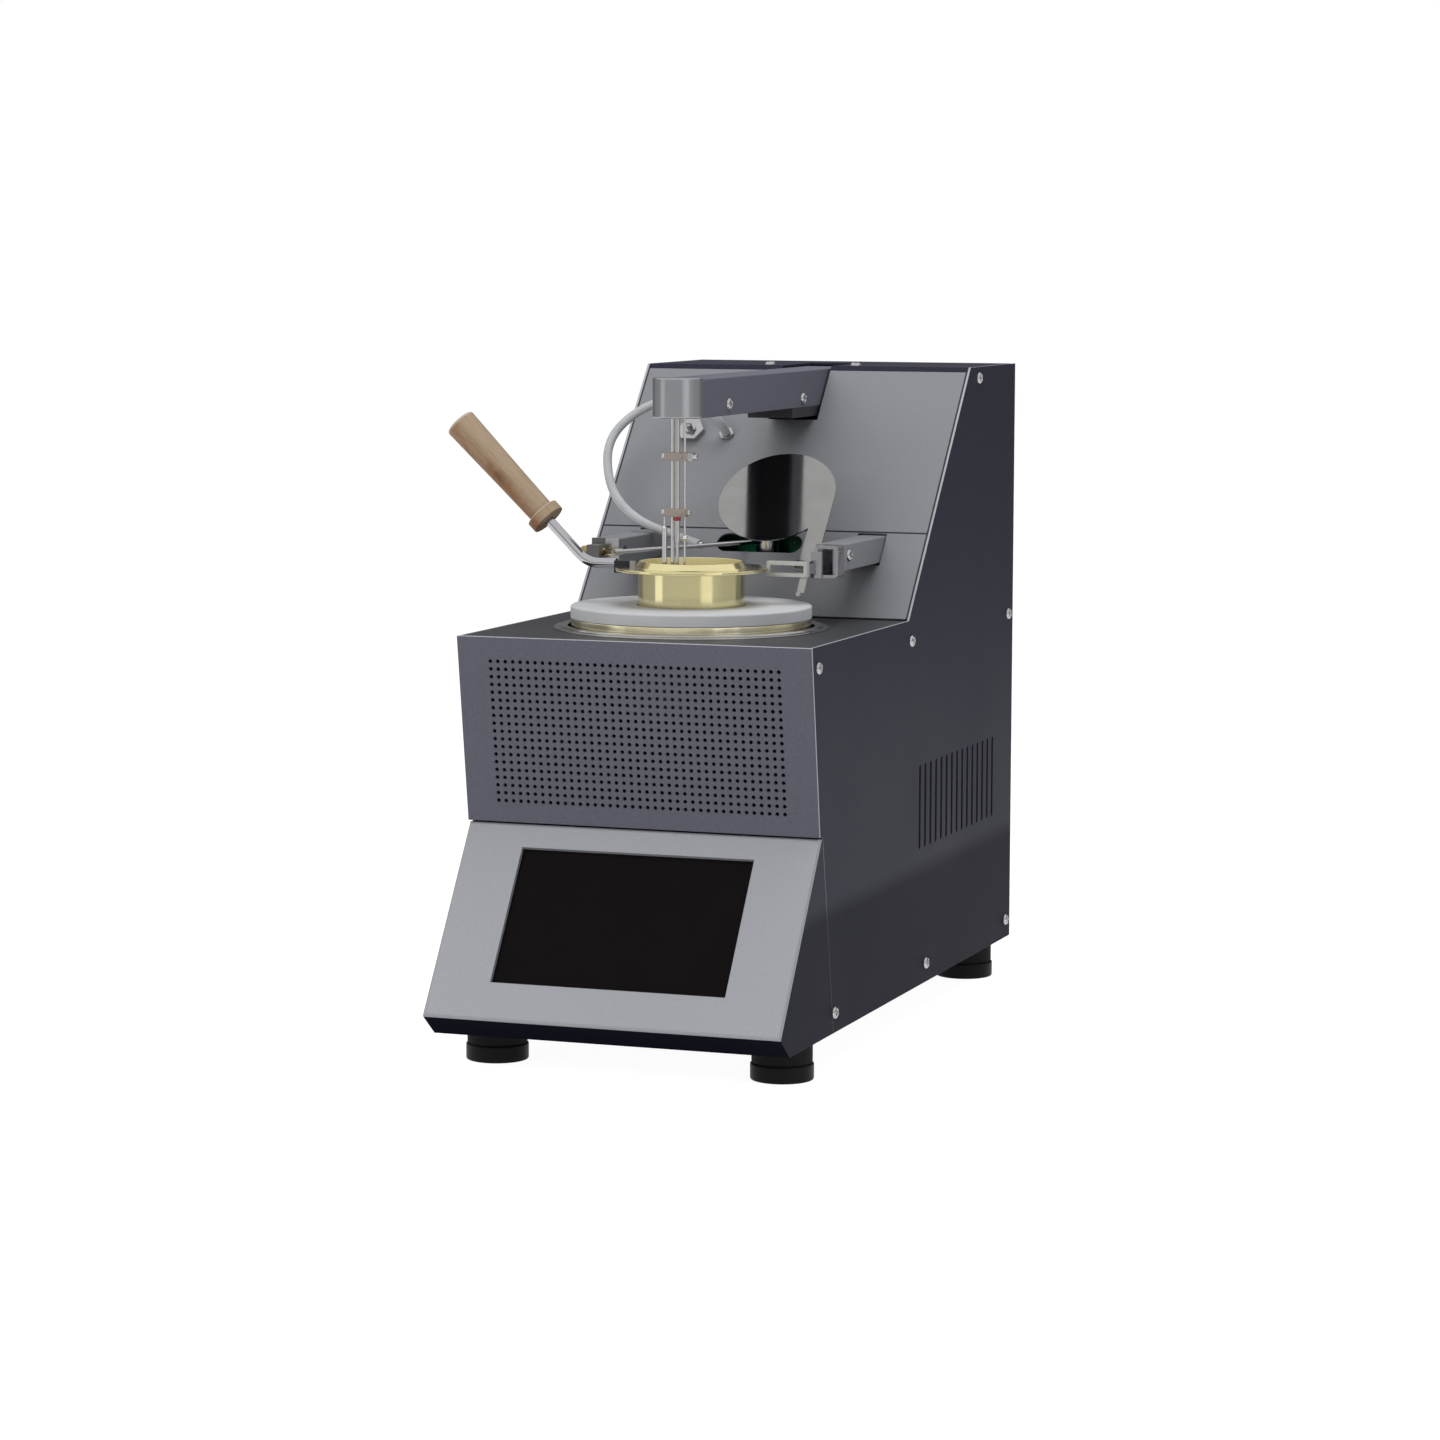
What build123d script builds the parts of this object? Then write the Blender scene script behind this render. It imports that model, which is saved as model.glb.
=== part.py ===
from build123d import *

import os
from math import acos, cos, degrees, radians, sin, tan

os.makedirs("parts", exist_ok=True)

# An automatic open-cup flash point tester: a sheet-steel cabinet with a touch screen, a brass
# test cup on a heated plate, a probe head on a lifting arm, a swinging test flame and a lid.
# Millimetres. +X is the operator's right, +Y runs to the back, +Z is up. The origin is on the
# underside of the base pan, midway between the sides and between the front and back feet.
# Distances called "set" run backwards from the deck's front edge, and heights from the base.

# ---------------------------------------------------------------- driving dimensions
cabinet_width = 233.4
cabinet_depth = 449.2
deck_height = 244.9
cabinet_height = 405.6
front_y = -225.0  # the deck's front edge
sheet = 1.5
seam = 0.2  # between two sheets that are screwed side by side
panel_thickness = 2.0  # the perforated front

column_foot_set = 200.6  # where the sloping face leaves the deck
column_head_set = 338.3  # where it meets the top
split_height = 126.5  # perforated front above, screen below
front_lean = 17.5  # the perforated front runs back by this on its way down
bezel_set = 19.7
bezel_reach = 57.0  # the bezel's foot stands out in front of the deck's edge
bezel_foot_height = 14.5
lip_reach = 37.7  # the undercut's back edge at the base
cheek_set = 47.4  # where the front shell's cheeks end at the base
cheek_head_set = 23.9

bezel_thickness = 3.0
bezel_edge_radius = 2.0
screen_width = 154.0
screen_height = 93.4
screen_drop = 17.2  # bezel above the screen
screen_module_margin = 4.0
screen_module_depth = 5.0

hole_pitch = 5.0
hole_diameter = 2.5
hole_columns = 39
hole_rows = 19
hole_head = 15.6  # from the panel's top edge to the first row

louvre_count = 15
louvre_pitch = 12.3
louvre_length = 56.0
louvre_width = 4.0
louvre_set = cabinet_depth - 135.2
louvre_height = 119.5

screw_head_radius = 4.0
screw_head_height = 2.4
screw_head_round = 1.5
screw_shank_radius = 2.0
screw_shank_length = 6.0
screw_clearance = 0.2
side_screw_spots = [
    (358.3, 398.0), (206.4, 231.4), (13.8, 231.6), (cabinet_depth - 12.0, 230.5),
    (cabinet_depth - 11.4, 12.8), (244.0, 12.8), (49.2, 12.8),
]  # (set, height) on each side
base_screw_height = 12.8
top_screw_x = 31.0
top_screw_set = 350.5
back_screw_x = 104.0
back_screw_heights = [12.8, 245.0, 392.0]

foot_x = 95.0
foot_front_set = 12.0
foot_back_set = cabinet_depth - 40.2
foot_height = 23.5
foot_radius = 19.8
foot_ring_radius = 19.0
foot_pad_height = 10.5
foot_groove = 0.8
foot_clearance = 0.3
foot_stud_radius = 4.0
foot_stud_length = 16.0
bearing_clearance = 0.05

cup_set = 107.3
well_radius = 79.0
well_wall = 1.2
well_depth = 50.0
well_rim_radius = 88.0
well_rim_rise = 2.2
plate_radius = 76.8
plate_top = 251.6
plate_thickness = 12.0
element_radius = 70.0
element_thickness = 12.0
disc_radius = 77.1
disc_thickness = 7.95
cup_seat_gap = 0.7  # between the cup and the disc's hole

cup_bore_radius = 31.75
cup_wall = 2.25
cup_floor = 2.8
cup_rise = 35.8
flange_radius = 48.5
flange_thickness = 2.0
flange_height = 29.8  # its underside, over the cup's foot
rim_outer_radius = 33.4
rim_foot_radius = 36.0

clamp_width = 10.0
clamp_reach = 51.0  # the clamp's outer end, from the cup's axis
clamp_nose = 41.0
clamp_jaw = 2.6
ferrule_nose = 36.8
ferrule_height = 3.2
handle_rod_radius = 3.3
handle_rod_height = 32.9
handle_bend = 71.3
handle_bend_radius = 18.0
handle_rise_angle = 45.0
handle_rod_length = 66.0  # from the bend's corner into the grip
grip_start = 37.5
grip_length = 88.0
grip_collar_radius = 11.6
grip_collar_length = 7.0
grip_neck_radius = 8.4
grip_end_radius = 10.4
grip_round = 1.5

arm_x = 77.0  # the two support arms
arm_width = 19.0
arm_bottom = 280.0
arm_top = 296.8
arm_front_set = 156.0
arm_wall = 1.5
arm_screw_set = 165.6
arm_screw_height = 289.3
arm_window_width = 20.0
arm_window_low = 44.0  # distances up the sloping face, from the deck
arm_window_high = 70.0
face_seam = 71.0
slot_width = 60.0
slot_height = 15.0
slot_along = 59.6

frame_height = 200.0  # top of the shelf inside the column
frame_front_set = 225.0
frame_flange = 15.0
crossbar_set = 268.0
crossbar_thickness = 4.0
crossbar_half = 95.0

flame_radius = 150.0  # from the swing shaft to the test flame
flame_height = 290.6
flame_tube_radius = 1.5
flame_park_angle = 22.5
nozzle_radius = 2.1
nozzle_length = 7.0
hub_radius = 8.0
hub_bottom = 283.0
hub_top = 298.0
hub_shaft_radius = 2.5
swing_motor_width = 42.0
swing_motor_height = 36.0
hose_tap_distance = 65.3  # from the swing shaft
hose_tap_radius = 2.2
hose_tap_length = 10.7

lid_radius = 39.4
lid_thickness = 1.0
lid_hinge_x = 70.0
lid_hinge_set = 149.5
lid_hinge_height = 281.7
lid_hinge_yaw = 12.6
lid_hinge_pitch = 4.9
lid_turn = 138.4  # from closed to open
lid_pin_radius = 2.0
lid_sleeve_radius = 3.6
lid_sleeve_length = 9.0
lid_sleeve_gap = 5.4
lid_neck_width = 12.0

bracket_left = 70.6
bracket_front_set = 143.5
bracket_bottom = 276.0
bracket_wall = 2.0

igniter_left = 42.2
igniter_right = 69.4
igniter_set = 134.5
igniter_bottom = 277.0
igniter_top = 286.8
igniter_bar = 2.4
igniter_depth = 5.0

pivot_set = 370.0
pivot_height = 300.0
pivot_radius = 5.0
pivot_ear_inner = 19.0
pivot_ear_thickness = 3.0
lift_angle = 30.0
lift_motor_radius = 17.0
lift_motor_length = 48.0

head_width = 31.6
head_nose_set = 83.0
head_bottom = 379.4
head_top = 403.8
head_back_set = 385.0
head_sheet = 2.0
nose_radius = 16.3
head_slot_half = 17.5
head_slot_low = 164.5  # distance up the sloping face
notch_back_set = 402.0
top_lip = 4.0

probe_set = 86.0
probe_tip_height = 261.0

valve_x = -70.0
valve_along = 152.0
barb_x = -44.0
barb_along = 150.0
hose_radius = 3.0

# ---------------------------------------------------------------- worked out from the above
half_width = cabinet_width / 2
inner_half = half_width - sheet
panel_half = inner_half - seam
back_y = front_y + cabinet_depth
cup_y = front_y + cup_set
rim_height = plate_top + cup_rise
lid_height = rim_height  # the closed lid's underside
swing_y = cup_y + flame_radius
pivot_y = front_y + pivot_set
column_rise = cabinet_height - deck_height
column_run = column_head_set - column_foot_set
front_drop = deck_height - split_height
bezel_drop = split_height - bezel_foot_height
bezel_run = bezel_reach + bezel_set

column_plane = Plane(
    origin=(0, front_y + column_foot_set, deck_height), x_dir=(1, 0, 0), z_dir=(0, -column_rise, column_run)
)
front_plane = Plane(origin=(0, front_y, deck_height), x_dir=(1, 0, 0), z_dir=(0, -front_drop, -front_lean))
screen_plane = Plane(
    origin=(0, front_y + bezel_set, split_height), x_dir=(1, 0, 0), z_dir=(0, -bezel_drop, bezel_run)
)
column_length = Vector(0, column_run, column_rise).length
front_length = Vector(0, front_lean, front_drop).length
bezel_length = Vector(0, bezel_run, bezel_drop).length


def finish(piece, name):
    """Label a finished piece and write its file."""
    piece.part.label = name
    export_step(piece.part, f"parts/{name}.step")


def at(set_back, height):
    """A point of the side view, as (Y, Z)."""
    return (front_y + set_back, height)


def folded_sheet(points, thickness):
    """The closed outline of a sheet folded along points, its thickness on the left of their run."""
    path = [Vector(*point) for point in points]
    runs = [(after - before).normalized() for before, after in zip(path, path[1:])]
    sides = [Vector(-run.Y, run.X) for run in runs]
    inner = [path[0] + sides[0] * thickness]
    for corner, before, after in zip(path[1:], sides, sides[1:]):
        inner.append(corner + (before + after) * (thickness / (1 + before.dot(after))))
    inner.append(path[-1] + sides[-1] * thickness)
    return [(p.X, p.Y) for p in path + inner[::-1]]


def upright(x, y, z=0.0):
    """A vertical plane through a vertical axis: its x is the radius and its y the height."""
    return Plane(origin=(x, y, z), x_dir=(1, 0, 0), z_dir=(0, -1, 0))


# ---------------------------------------------------------------- cabinet
pan_front_set = 5.5 - lip_reach
pan_length = cabinet_depth - sheet - seam - pan_front_set
pan_flange = 20.0
board_x = -38.0
board_y = 40.0
board_width = 110.0
board_length = 150.0
standoff_height = 10.0
foot_spots = {
    "front_left": (-foot_x, front_y + foot_front_set),
    "front_right": (foot_x, front_y + foot_front_set),
    "back_left": (-foot_x, front_y + foot_back_set),
    "back_right": (foot_x, front_y + foot_back_set),
}
screw_hole_radius = screw_shank_radius + screw_clearance

with BuildPart() as base_pan:
    pan_outline = [(-panel_half, pan_flange), (-panel_half, 0), (panel_half, 0), (panel_half, pan_flange)]
    with BuildSketch(upright(0, front_y + pan_front_set)):
        with BuildLine():
            Polyline(*folded_sheet(pan_outline, sheet), close=True)
        make_face()
    extrude(amount=-pan_length)
    with BuildSketch(Plane.XY):
        with Locations(*foot_spots.values()):
            Circle(foot_stud_radius + bearing_clearance)
    extrude(amount=sheet, mode=Mode.SUBTRACT)
    with BuildSketch(Plane.YZ):
        with Locations(*[at(*spot) for spot in side_screw_spots if spot[1] == base_screw_height]):
            Circle(screw_hole_radius)
    extrude(amount=half_width, both=True, mode=Mode.SUBTRACT)
    with BuildSketch(Plane.XY.offset(sheet - 0.5)):
        with Locations((board_x, board_y)):
            with GridLocations(board_width - 12, board_length - 12, 2, 2):
                RegularPolygon(3.5, 6)
    extrude(amount=standoff_height + 0.5)
finish(base_pan, "base_pan")

panel_edge_set = panel_thickness + 2 * seam
side_outline = [
    at(panel_edge_set, deck_height),
    at(column_foot_set, deck_height),
    at(column_head_set, cabinet_height),
    at(cabinet_depth, cabinet_height),
    at(cabinet_depth, 0),
    at(cheek_set, 0),
    at(cheek_head_set, split_height),
    at(front_lean + panel_edge_set, split_height),
]


def side_panel(plane):
    """One side of the cabinet: the deck's and the column's profile, screw holes and louvres."""
    with BuildPart() as panel:
        with BuildSketch(plane):
            with BuildLine():
                Polyline(*side_outline, close=True)
            make_face()
            with Locations(*[at(*spot) for spot in side_screw_spots]):
                Circle(screw_hole_radius, mode=Mode.SUBTRACT)
            with Locations(at(louvre_set, louvre_height)):
                with GridLocations(louvre_pitch, 1, louvre_count, 1):
                    SlotOverall(louvre_length, louvre_width, rotation=90, mode=Mode.SUBTRACT)
        extrude(amount=sheet)
    return panel


finish(side_panel(Plane.YZ.offset(-half_width)), "side_panel_left")
finish(side_panel(Plane.YZ.offset(inner_half)), "side_panel_right")

with BuildPart() as upper_front_panel:
    with BuildSketch(front_plane):
        with Locations((0, -front_length / 2)):
            Rectangle(cabinet_width, front_length - 2 * seam)
        with Locations((0, -hole_head - (hole_rows - 1) * hole_pitch / 2)):
            with GridLocations(hole_pitch, hole_pitch, hole_columns, hole_rows):
                Circle(hole_diameter / 2, mode=Mode.SUBTRACT)
    extrude(amount=-panel_thickness)
finish(upper_front_panel, "upper_front_panel")

# The bezel lies on the front shell's sloping wall, and the screen module fills the wall's window.
slope_plane = screen_plane.offset(-bezel_thickness)
slope_head = slope_plane.from_local_coords((0, -3.0, 0))
slope_foot = slope_plane.from_local_coords((0, -bezel_length, 0))
screen_centre = (0, -screen_drop - screen_height / 2)
module_width = screen_width + 2 * screen_module_margin
module_height = screen_height + 2 * screen_module_margin

with BuildPart() as front_shell:
    with BuildSketch(Plane.YZ):
        with BuildLine():
            fold = [(slope_head.Y, slope_head.Z), (slope_foot.Y, slope_foot.Z), at(-lip_reach, 0)]
            Polyline(*folded_sheet(fold, sheet), close=True)
        make_face()
    extrude(amount=inner_half, both=True)
    for x in (-half_width, inner_half):
        with BuildSketch(Plane.YZ.offset(x)):
            with BuildLine():
                cheek_top = split_height - (split_height - slope_head.Z)
                seam_slope = (cheek_set - cheek_head_set) / split_height
                cheek_back = cheek_head_set - seam + (split_height - cheek_top) * seam_slope
                Polyline(*fold, at(cheek_set - seam, 0), at(cheek_back, cheek_top), close=True)
            make_face()
        extrude(amount=sheet)
    with BuildSketch(slope_plane):
        with Locations(screen_centre):
            Rectangle(module_width + 2 * seam, module_height + 2 * seam)
    extrude(amount=-2 * sheet, mode=Mode.SUBTRACT)
finish(front_shell, "front_shell")

with BuildPart() as screen_bezel:
    with BuildSketch(slope_plane):
        with Locations((0, -bezel_length / 2)):
            Rectangle(cabinet_width, bezel_length - 2 * seam)
        with Locations(screen_centre):
            Rectangle(screen_width, screen_height, mode=Mode.SUBTRACT)
    extrude(amount=bezel_thickness)
    bezel_face = screen_bezel.faces().sort_by(Axis(screen_plane.origin, screen_plane.z_dir))[-1]
    fillet(bezel_face.outer_wire().edges(), radius=bezel_edge_radius)
finish(screen_bezel, "screen_bezel")

with BuildPart() as touch_screen:
    with BuildSketch(slope_plane):
        with Locations(screen_centre):
            Rectangle(module_width, module_height)
    extrude(amount=-screen_module_depth)
finish(touch_screen, "touch_screen")

with BuildPart() as deck_plate:
    with BuildSketch(Plane.XY.offset(deck_height)):
        with Locations((0, front_y + (column_foot_set + panel_edge_set) / 2)):
            Rectangle(2 * panel_half, column_foot_set - panel_edge_set)
        with Locations((0, cup_y)):
            Circle(well_radius + well_wall + seam, mode=Mode.SUBTRACT)
    extrude(amount=-sheet)
finish(deck_plate, "deck_plate")

with BuildPart() as column_face_lower:
    with BuildSketch(column_plane):
        with Locations((0, (face_seam + sheet) / 2)):
            Rectangle(2 * panel_half, face_seam - sheet)
        with Locations((0, slot_along)):
            SlotOverall(slot_width, slot_height, mode=Mode.SUBTRACT)
        with Locations(*[(x, (arm_window_low + arm_window_high) / 2) for x in (-arm_x, arm_x)]):
            Rectangle(arm_window_width, arm_window_high - arm_window_low, mode=Mode.SUBTRACT)
    extrude(amount=-sheet)
finish(column_face_lower, "column_face_lower")

face_top = column_length - top_lip - seam
with BuildPart() as column_face_upper:
    with BuildSketch(column_plane):
        with Locations((0, (face_seam + seam + face_top) / 2)):
            Rectangle(2 * panel_half, face_top - face_seam - seam)
        with Locations((0, (head_slot_low + column_length) / 2)):
            Rectangle(2 * head_slot_half, column_length - head_slot_low, mode=Mode.SUBTRACT)
        with Locations((valve_x, valve_along)):
            Circle(4.2, mode=Mode.SUBTRACT)
        with Locations((barb_x, barb_along)):
            Circle(4.2, mode=Mode.SUBTRACT)
    extrude(amount=-sheet)
finish(column_face_upper, "column_face_upper")

with BuildPart() as top_plate:
    lip_end = column_plane.from_local_coords((0, column_length - top_lip, 0))
    top_back_y = back_y - sheet - seam
    top_fold = [(top_back_y, cabinet_height), at(column_head_set, cabinet_height), (lip_end.Y, lip_end.Z)]
    with BuildSketch(Plane.YZ):
        with BuildLine():
            Polyline(*folded_sheet(top_fold, sheet), close=True)
        make_face()
    extrude(amount=panel_half, both=True)
    with BuildSketch(Plane.XY.offset(cabinet_height)):
        with Locations((0, front_y + notch_back_set / 2)):
            Rectangle(2 * head_slot_half, notch_back_set)
        with Locations(*[(x, front_y + top_screw_set) for x in (-top_screw_x, top_screw_x)]):
            Circle(screw_hole_radius)
    extrude(amount=-4 * top_lip, mode=Mode.SUBTRACT)
finish(top_plate, "top_plate")

# The back carries the fan's grille, the mains inlet and switch, and the gas inlet.
fan_x = 48.0
fan_height = 72.0
fan_width = 80.0
fan_depth = 25.0
grille_slots = 9
grille_pitch = 7.5
grille_length = 62.0
inlet_x = -72.0
inlet_height = 46.0
inlet_width = 27.0
inlet_rise = 20.0
switch_height = 80.0
switch_width = 21.0
switch_rise = 14.0
gas_inlet_height = 222.0
gas_thread_radius = 5.0
back_plane = Plane(origin=(0, back_y, 0), x_dir=(-1, 0, 0), z_dir=(0, 1, 0))

with BuildPart() as back_panel:
    with BuildSketch(back_plane):
        with Locations((0, cabinet_height / 2)):
            Rectangle(2 * panel_half, cabinet_height - 2 * seam)
        with Locations((-fan_x, fan_height)):
            with GridLocations(grille_pitch, 1, grille_slots, 1):
                SlotOverall(grille_length, louvre_width, rotation=90, mode=Mode.SUBTRACT)
        with Locations((-inlet_x, inlet_height)):
            Rectangle(inlet_width + 2 * seam, inlet_rise + 2 * seam, mode=Mode.SUBTRACT)
        with Locations((-inlet_x, switch_height)):
            Rectangle(switch_width + 2 * seam, switch_rise + 2 * seam, mode=Mode.SUBTRACT)
        with Locations((-inlet_x, gas_inlet_height)):
            Circle(gas_thread_radius + seam, mode=Mode.SUBTRACT)
        with Locations(*[(x, z) for x in (-back_screw_x, back_screw_x) for z in back_screw_heights]):
            Circle(screw_hole_radius, mode=Mode.SUBTRACT)
    extrude(amount=-sheet)
finish(back_panel, "back_panel")


def button_screws(plane, spots):
    """Dome-headed screws standing on a plane, their shanks going down through it."""
    with BuildPart() as screws:
        with BuildSketch(plane):
            with Locations(*spots):
                Circle(screw_head_radius)
        extrude(amount=screw_head_height)
        outward = Axis(plane.origin, plane.z_dir)
        fillet(screws.faces().group_by(outward)[-1].edges(), radius=screw_head_round)
        with BuildSketch(plane):
            with Locations(*spots):
                Circle(screw_shank_radius)
        extrude(amount=-screw_shank_length)
    return screws


with BuildPart() as case_screws:
    right_plane = Plane.YZ.offset(half_width)
    add(button_screws(right_plane, [at(*spot) for spot in side_screw_spots]))
    add(button_screws(Plane.YZ.offset(arm_x + arm_width / 2), [at(arm_screw_set, arm_screw_height)]))
    mirror(about=Plane.YZ)
    top_spots = [(x, front_y + top_screw_set) for x in (-top_screw_x, top_screw_x)]
    add(button_screws(Plane.XY.offset(cabinet_height), top_spots))
    add(button_screws(back_plane, [(x, z) for x in (-back_screw_x, back_screw_x) for z in back_screw_heights]))
finish(case_screws, "case_screws")

for corner, (x, y) in foot_spots.items():
    with BuildPart() as foot:
        with BuildSketch(upright(x, y)):
            with BuildLine():
                pad_top = foot_pad_height - foot_height
                ring_bottom = pad_top + foot_groove
                Polyline(
                    (0, -foot_height), (foot_radius - 1, -foot_height), (foot_radius, -foot_height + 1),
                    (foot_radius, pad_top), (foot_ring_radius - 1, pad_top), (foot_ring_radius - 1, ring_bottom),
                    (foot_ring_radius, ring_bottom), (foot_ring_radius, -foot_clearance),
                    (foot_stud_radius, -foot_clearance), (foot_stud_radius, foot_stud_length),
                    (0, foot_stud_length), close=True,
                )
            make_face()
        revolve(axis=Axis((x, y, 0), (0, 0, 1)))
    finish(foot, f"foot_{corner}")

# ---------------------------------------------------------------- heater and test cup
well_floor = deck_height - well_depth
element_bottom = plate_top - plate_thickness - element_thickness


def turned_ring(outline, axis_x, axis_y):
    """A solid of revolution about a vertical axis, from its (radius, height) outline."""
    with BuildPart() as ring:
        with BuildSketch(upright(axis_x, axis_y)):
            with BuildLine():
                Polyline(*outline, close=True)
            make_face()
        revolve(axis=Axis((axis_x, axis_y, 0), (0, 0, 1)))
    return ring


well_outline = [
    (0, well_floor), (well_radius + well_wall, well_floor), (well_radius + well_wall, deck_height),
    (well_rim_radius, deck_height), (well_rim_radius, deck_height + well_wall),
    (well_radius + 4.0, deck_height + well_rim_rise), (well_radius, deck_height + well_rim_rise),
    (well_radius, well_floor + well_wall), (0, well_floor + well_wall),
]
finish(turned_ring(well_outline, 0, cup_y), "heater_well")

with BuildPart() as heater_insulation:
    with BuildSketch(Plane.XY.offset(well_floor + well_wall)):
        with Locations((0, cup_y)):
            Circle(well_radius - seam)
    extrude(amount=element_bottom - well_floor - well_wall)
finish(heater_insulation, "heater_insulation")

with BuildPart() as heater_element:
    with BuildSketch(Plane.XY.offset(element_bottom)):
        with Locations((0, cup_y)):
            Circle(element_radius)
    extrude(amount=element_thickness)
finish(heater_element, "heater_element")

with BuildPart() as heating_plate:
    with BuildSketch(Plane.XY.offset(plate_top)):
        with Locations((0, cup_y)):
            Circle(plate_radius)
    extrude(amount=-plate_thickness)
    chamfer(heating_plate.edges().group_by(Axis.Z)[-1], length=0.6)
finish(heating_plate, "heating_plate")

with BuildPart() as insulating_disc:
    with BuildSketch(Plane.XY.offset(plate_top)):
        with Locations((0, cup_y)):
            Circle(disc_radius)
            Circle(cup_bore_radius + cup_wall + cup_seat_gap, mode=Mode.SUBTRACT)
    extrude(amount=disc_thickness)
    fillet(insulating_disc.edges().group_by(Axis.Z)[-1].sort_by(SortBy.LENGTH)[-1], radius=1.2)
finish(insulating_disc, "insulating_disc")

cup_outer_radius = cup_bore_radius + cup_wall
flange_z = plate_top + flange_height
cup_outline = [
    (0, plate_top), (cup_outer_radius, plate_top), (cup_outer_radius, flange_z),
    (flange_radius, flange_z), (flange_radius, flange_z + flange_thickness),
    (rim_foot_radius, flange_z + flange_thickness), (rim_outer_radius, rim_height),
    (cup_bore_radius, rim_height), (cup_bore_radius, plate_top + cup_floor), (0, plate_top + cup_floor),
]
finish(turned_ring(cup_outline, 0, cup_y), "cup")

# The handle lies in the upright plane through the cup's axis, on the operator's left.
handle_plane = upright(0, cup_y)
flange_top = flange_z + flange_thickness

tang_width = 5.0
tang_thickness = 2.0
tang_height = flange_top + ferrule_height / 2

with BuildPart() as cup_clamp:
    with BuildSketch(handle_plane):
        with BuildLine():
            jaw_bottom = flange_z - clamp_jaw
            jaw_top = flange_top + ferrule_height
            Polyline(
                (-clamp_reach, jaw_bottom), (-clamp_nose - 3.5, jaw_bottom), (-clamp_nose - 3.5, flange_z),
                (-flange_radius - seam, flange_z), (-flange_radius - seam, flange_top),
                (-clamp_nose, flange_top), (-clamp_nose, jaw_top), (-clamp_reach, jaw_top), close=True,
            )
        make_face()
    extrude(amount=clamp_width / 2, both=True)
    with Locations((-(clamp_reach + clamp_nose) / 2, cup_y, tang_height)):
        Box(clamp_reach - clamp_nose, tang_width, tang_thickness, mode=Mode.SUBTRACT)
finish(cup_clamp, "cup_clamp")

rise = Vector(-cos(radians(handle_rise_angle)), sin(radians(handle_rise_angle)))
rod_corner = Vector(-handle_bend, plate_top + handle_rod_height)
rod_end = rod_corner + rise * handle_rod_length

with BuildPart() as handle_rod:
    with BuildLine(handle_plane) as rod_path:
        FilletPolyline(
            (-clamp_reach, rod_corner.Y), (rod_corner.X, rod_corner.Y), (rod_end.X, rod_end.Y),
            radius=handle_bend_radius,
        )
    with BuildSketch(Plane(origin=rod_path.line @ 0, z_dir=rod_path.line % 0)):
        Circle(handle_rod_radius)
    sweep()
    with Locations((-(clamp_reach + clamp_nose) / 2, cup_y, tang_height)):
        Box(clamp_reach - clamp_nose, tang_width, tang_thickness)
    with Locations((-(clamp_nose + ferrule_nose) / 2, cup_y, tang_height)):
        Box(clamp_nose - ferrule_nose, clamp_width - 2, ferrule_height)
finish(handle_rod, "handle_rod")

grip_foot = rod_corner + rise * grip_start
grip_plane = Plane(
    origin=handle_plane.from_local_coords((grip_foot.X, grip_foot.Y, 0)), x_dir=(0, 1, 0), z_dir=(rise.X, 0, rise.Y)
)
with BuildPart() as handle_grip:
    with BuildSketch(Plane(origin=grip_plane.origin, x_dir=(0, 1, 0), z_dir=(rise.Y, 0, -rise.X))):
        with BuildLine():
            Polyline(
                (0, 0), (grip_collar_radius, 0), (grip_collar_radius, grip_collar_length),
                (grip_neck_radius, grip_collar_length), (grip_end_radius, grip_length), (0, grip_length), close=True,
            )
        make_face()
    revolve(axis=Axis(grip_plane.origin, grip_plane.z_dir))
    grip_ends = handle_grip.edges().filter_by(GeomType.CIRCLE).sort_by(Axis(grip_plane.origin, grip_plane.z_dir))
    fillet(grip_ends[-1], radius=grip_round)
    with BuildSketch(grip_plane):
        Circle(handle_rod_radius + 0.02)
    extrude(amount=handle_rod_length - grip_start + seam, mode=Mode.SUBTRACT)
finish(handle_grip, "handle_grip")

# ---------------------------------------------------------------- inner frame and drives
shelf_bottom = frame_height - sheet
shelf_back_set = cabinet_depth - sheet - seam
motor_top = frame_height + swing_motor_height

with BuildPart() as column_shelf:
    shelf_outline = [
        (-panel_half, shelf_bottom - frame_flange), (-panel_half, frame_height),
        (panel_half, frame_height), (panel_half, shelf_bottom - frame_flange),
    ]
    with BuildSketch(upright(0, front_y + frame_front_set)):
        with BuildLine():
            Polyline(*folded_sheet(shelf_outline, -sheet), close=True)
        make_face()
    extrude(amount=frame_front_set - shelf_back_set)
finish(column_shelf, "column_shelf")

# The crossbar stands on the shelf and carries both support arms; its middle clears the motor.
with BuildPart() as arm_crossbar:
    with BuildSketch(Plane.XZ.offset(-front_y - crossbar_set)):
        with Locations((0, (frame_height + arm_top) / 2)):
            Rectangle(2 * crossbar_half, arm_top - frame_height)
        with Locations((0, frame_height + 25)):
            Rectangle(112, 50, mode=Mode.SUBTRACT)
    extrude(amount=-crossbar_thickness)
finish(arm_crossbar, "arm_crossbar")


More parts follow.
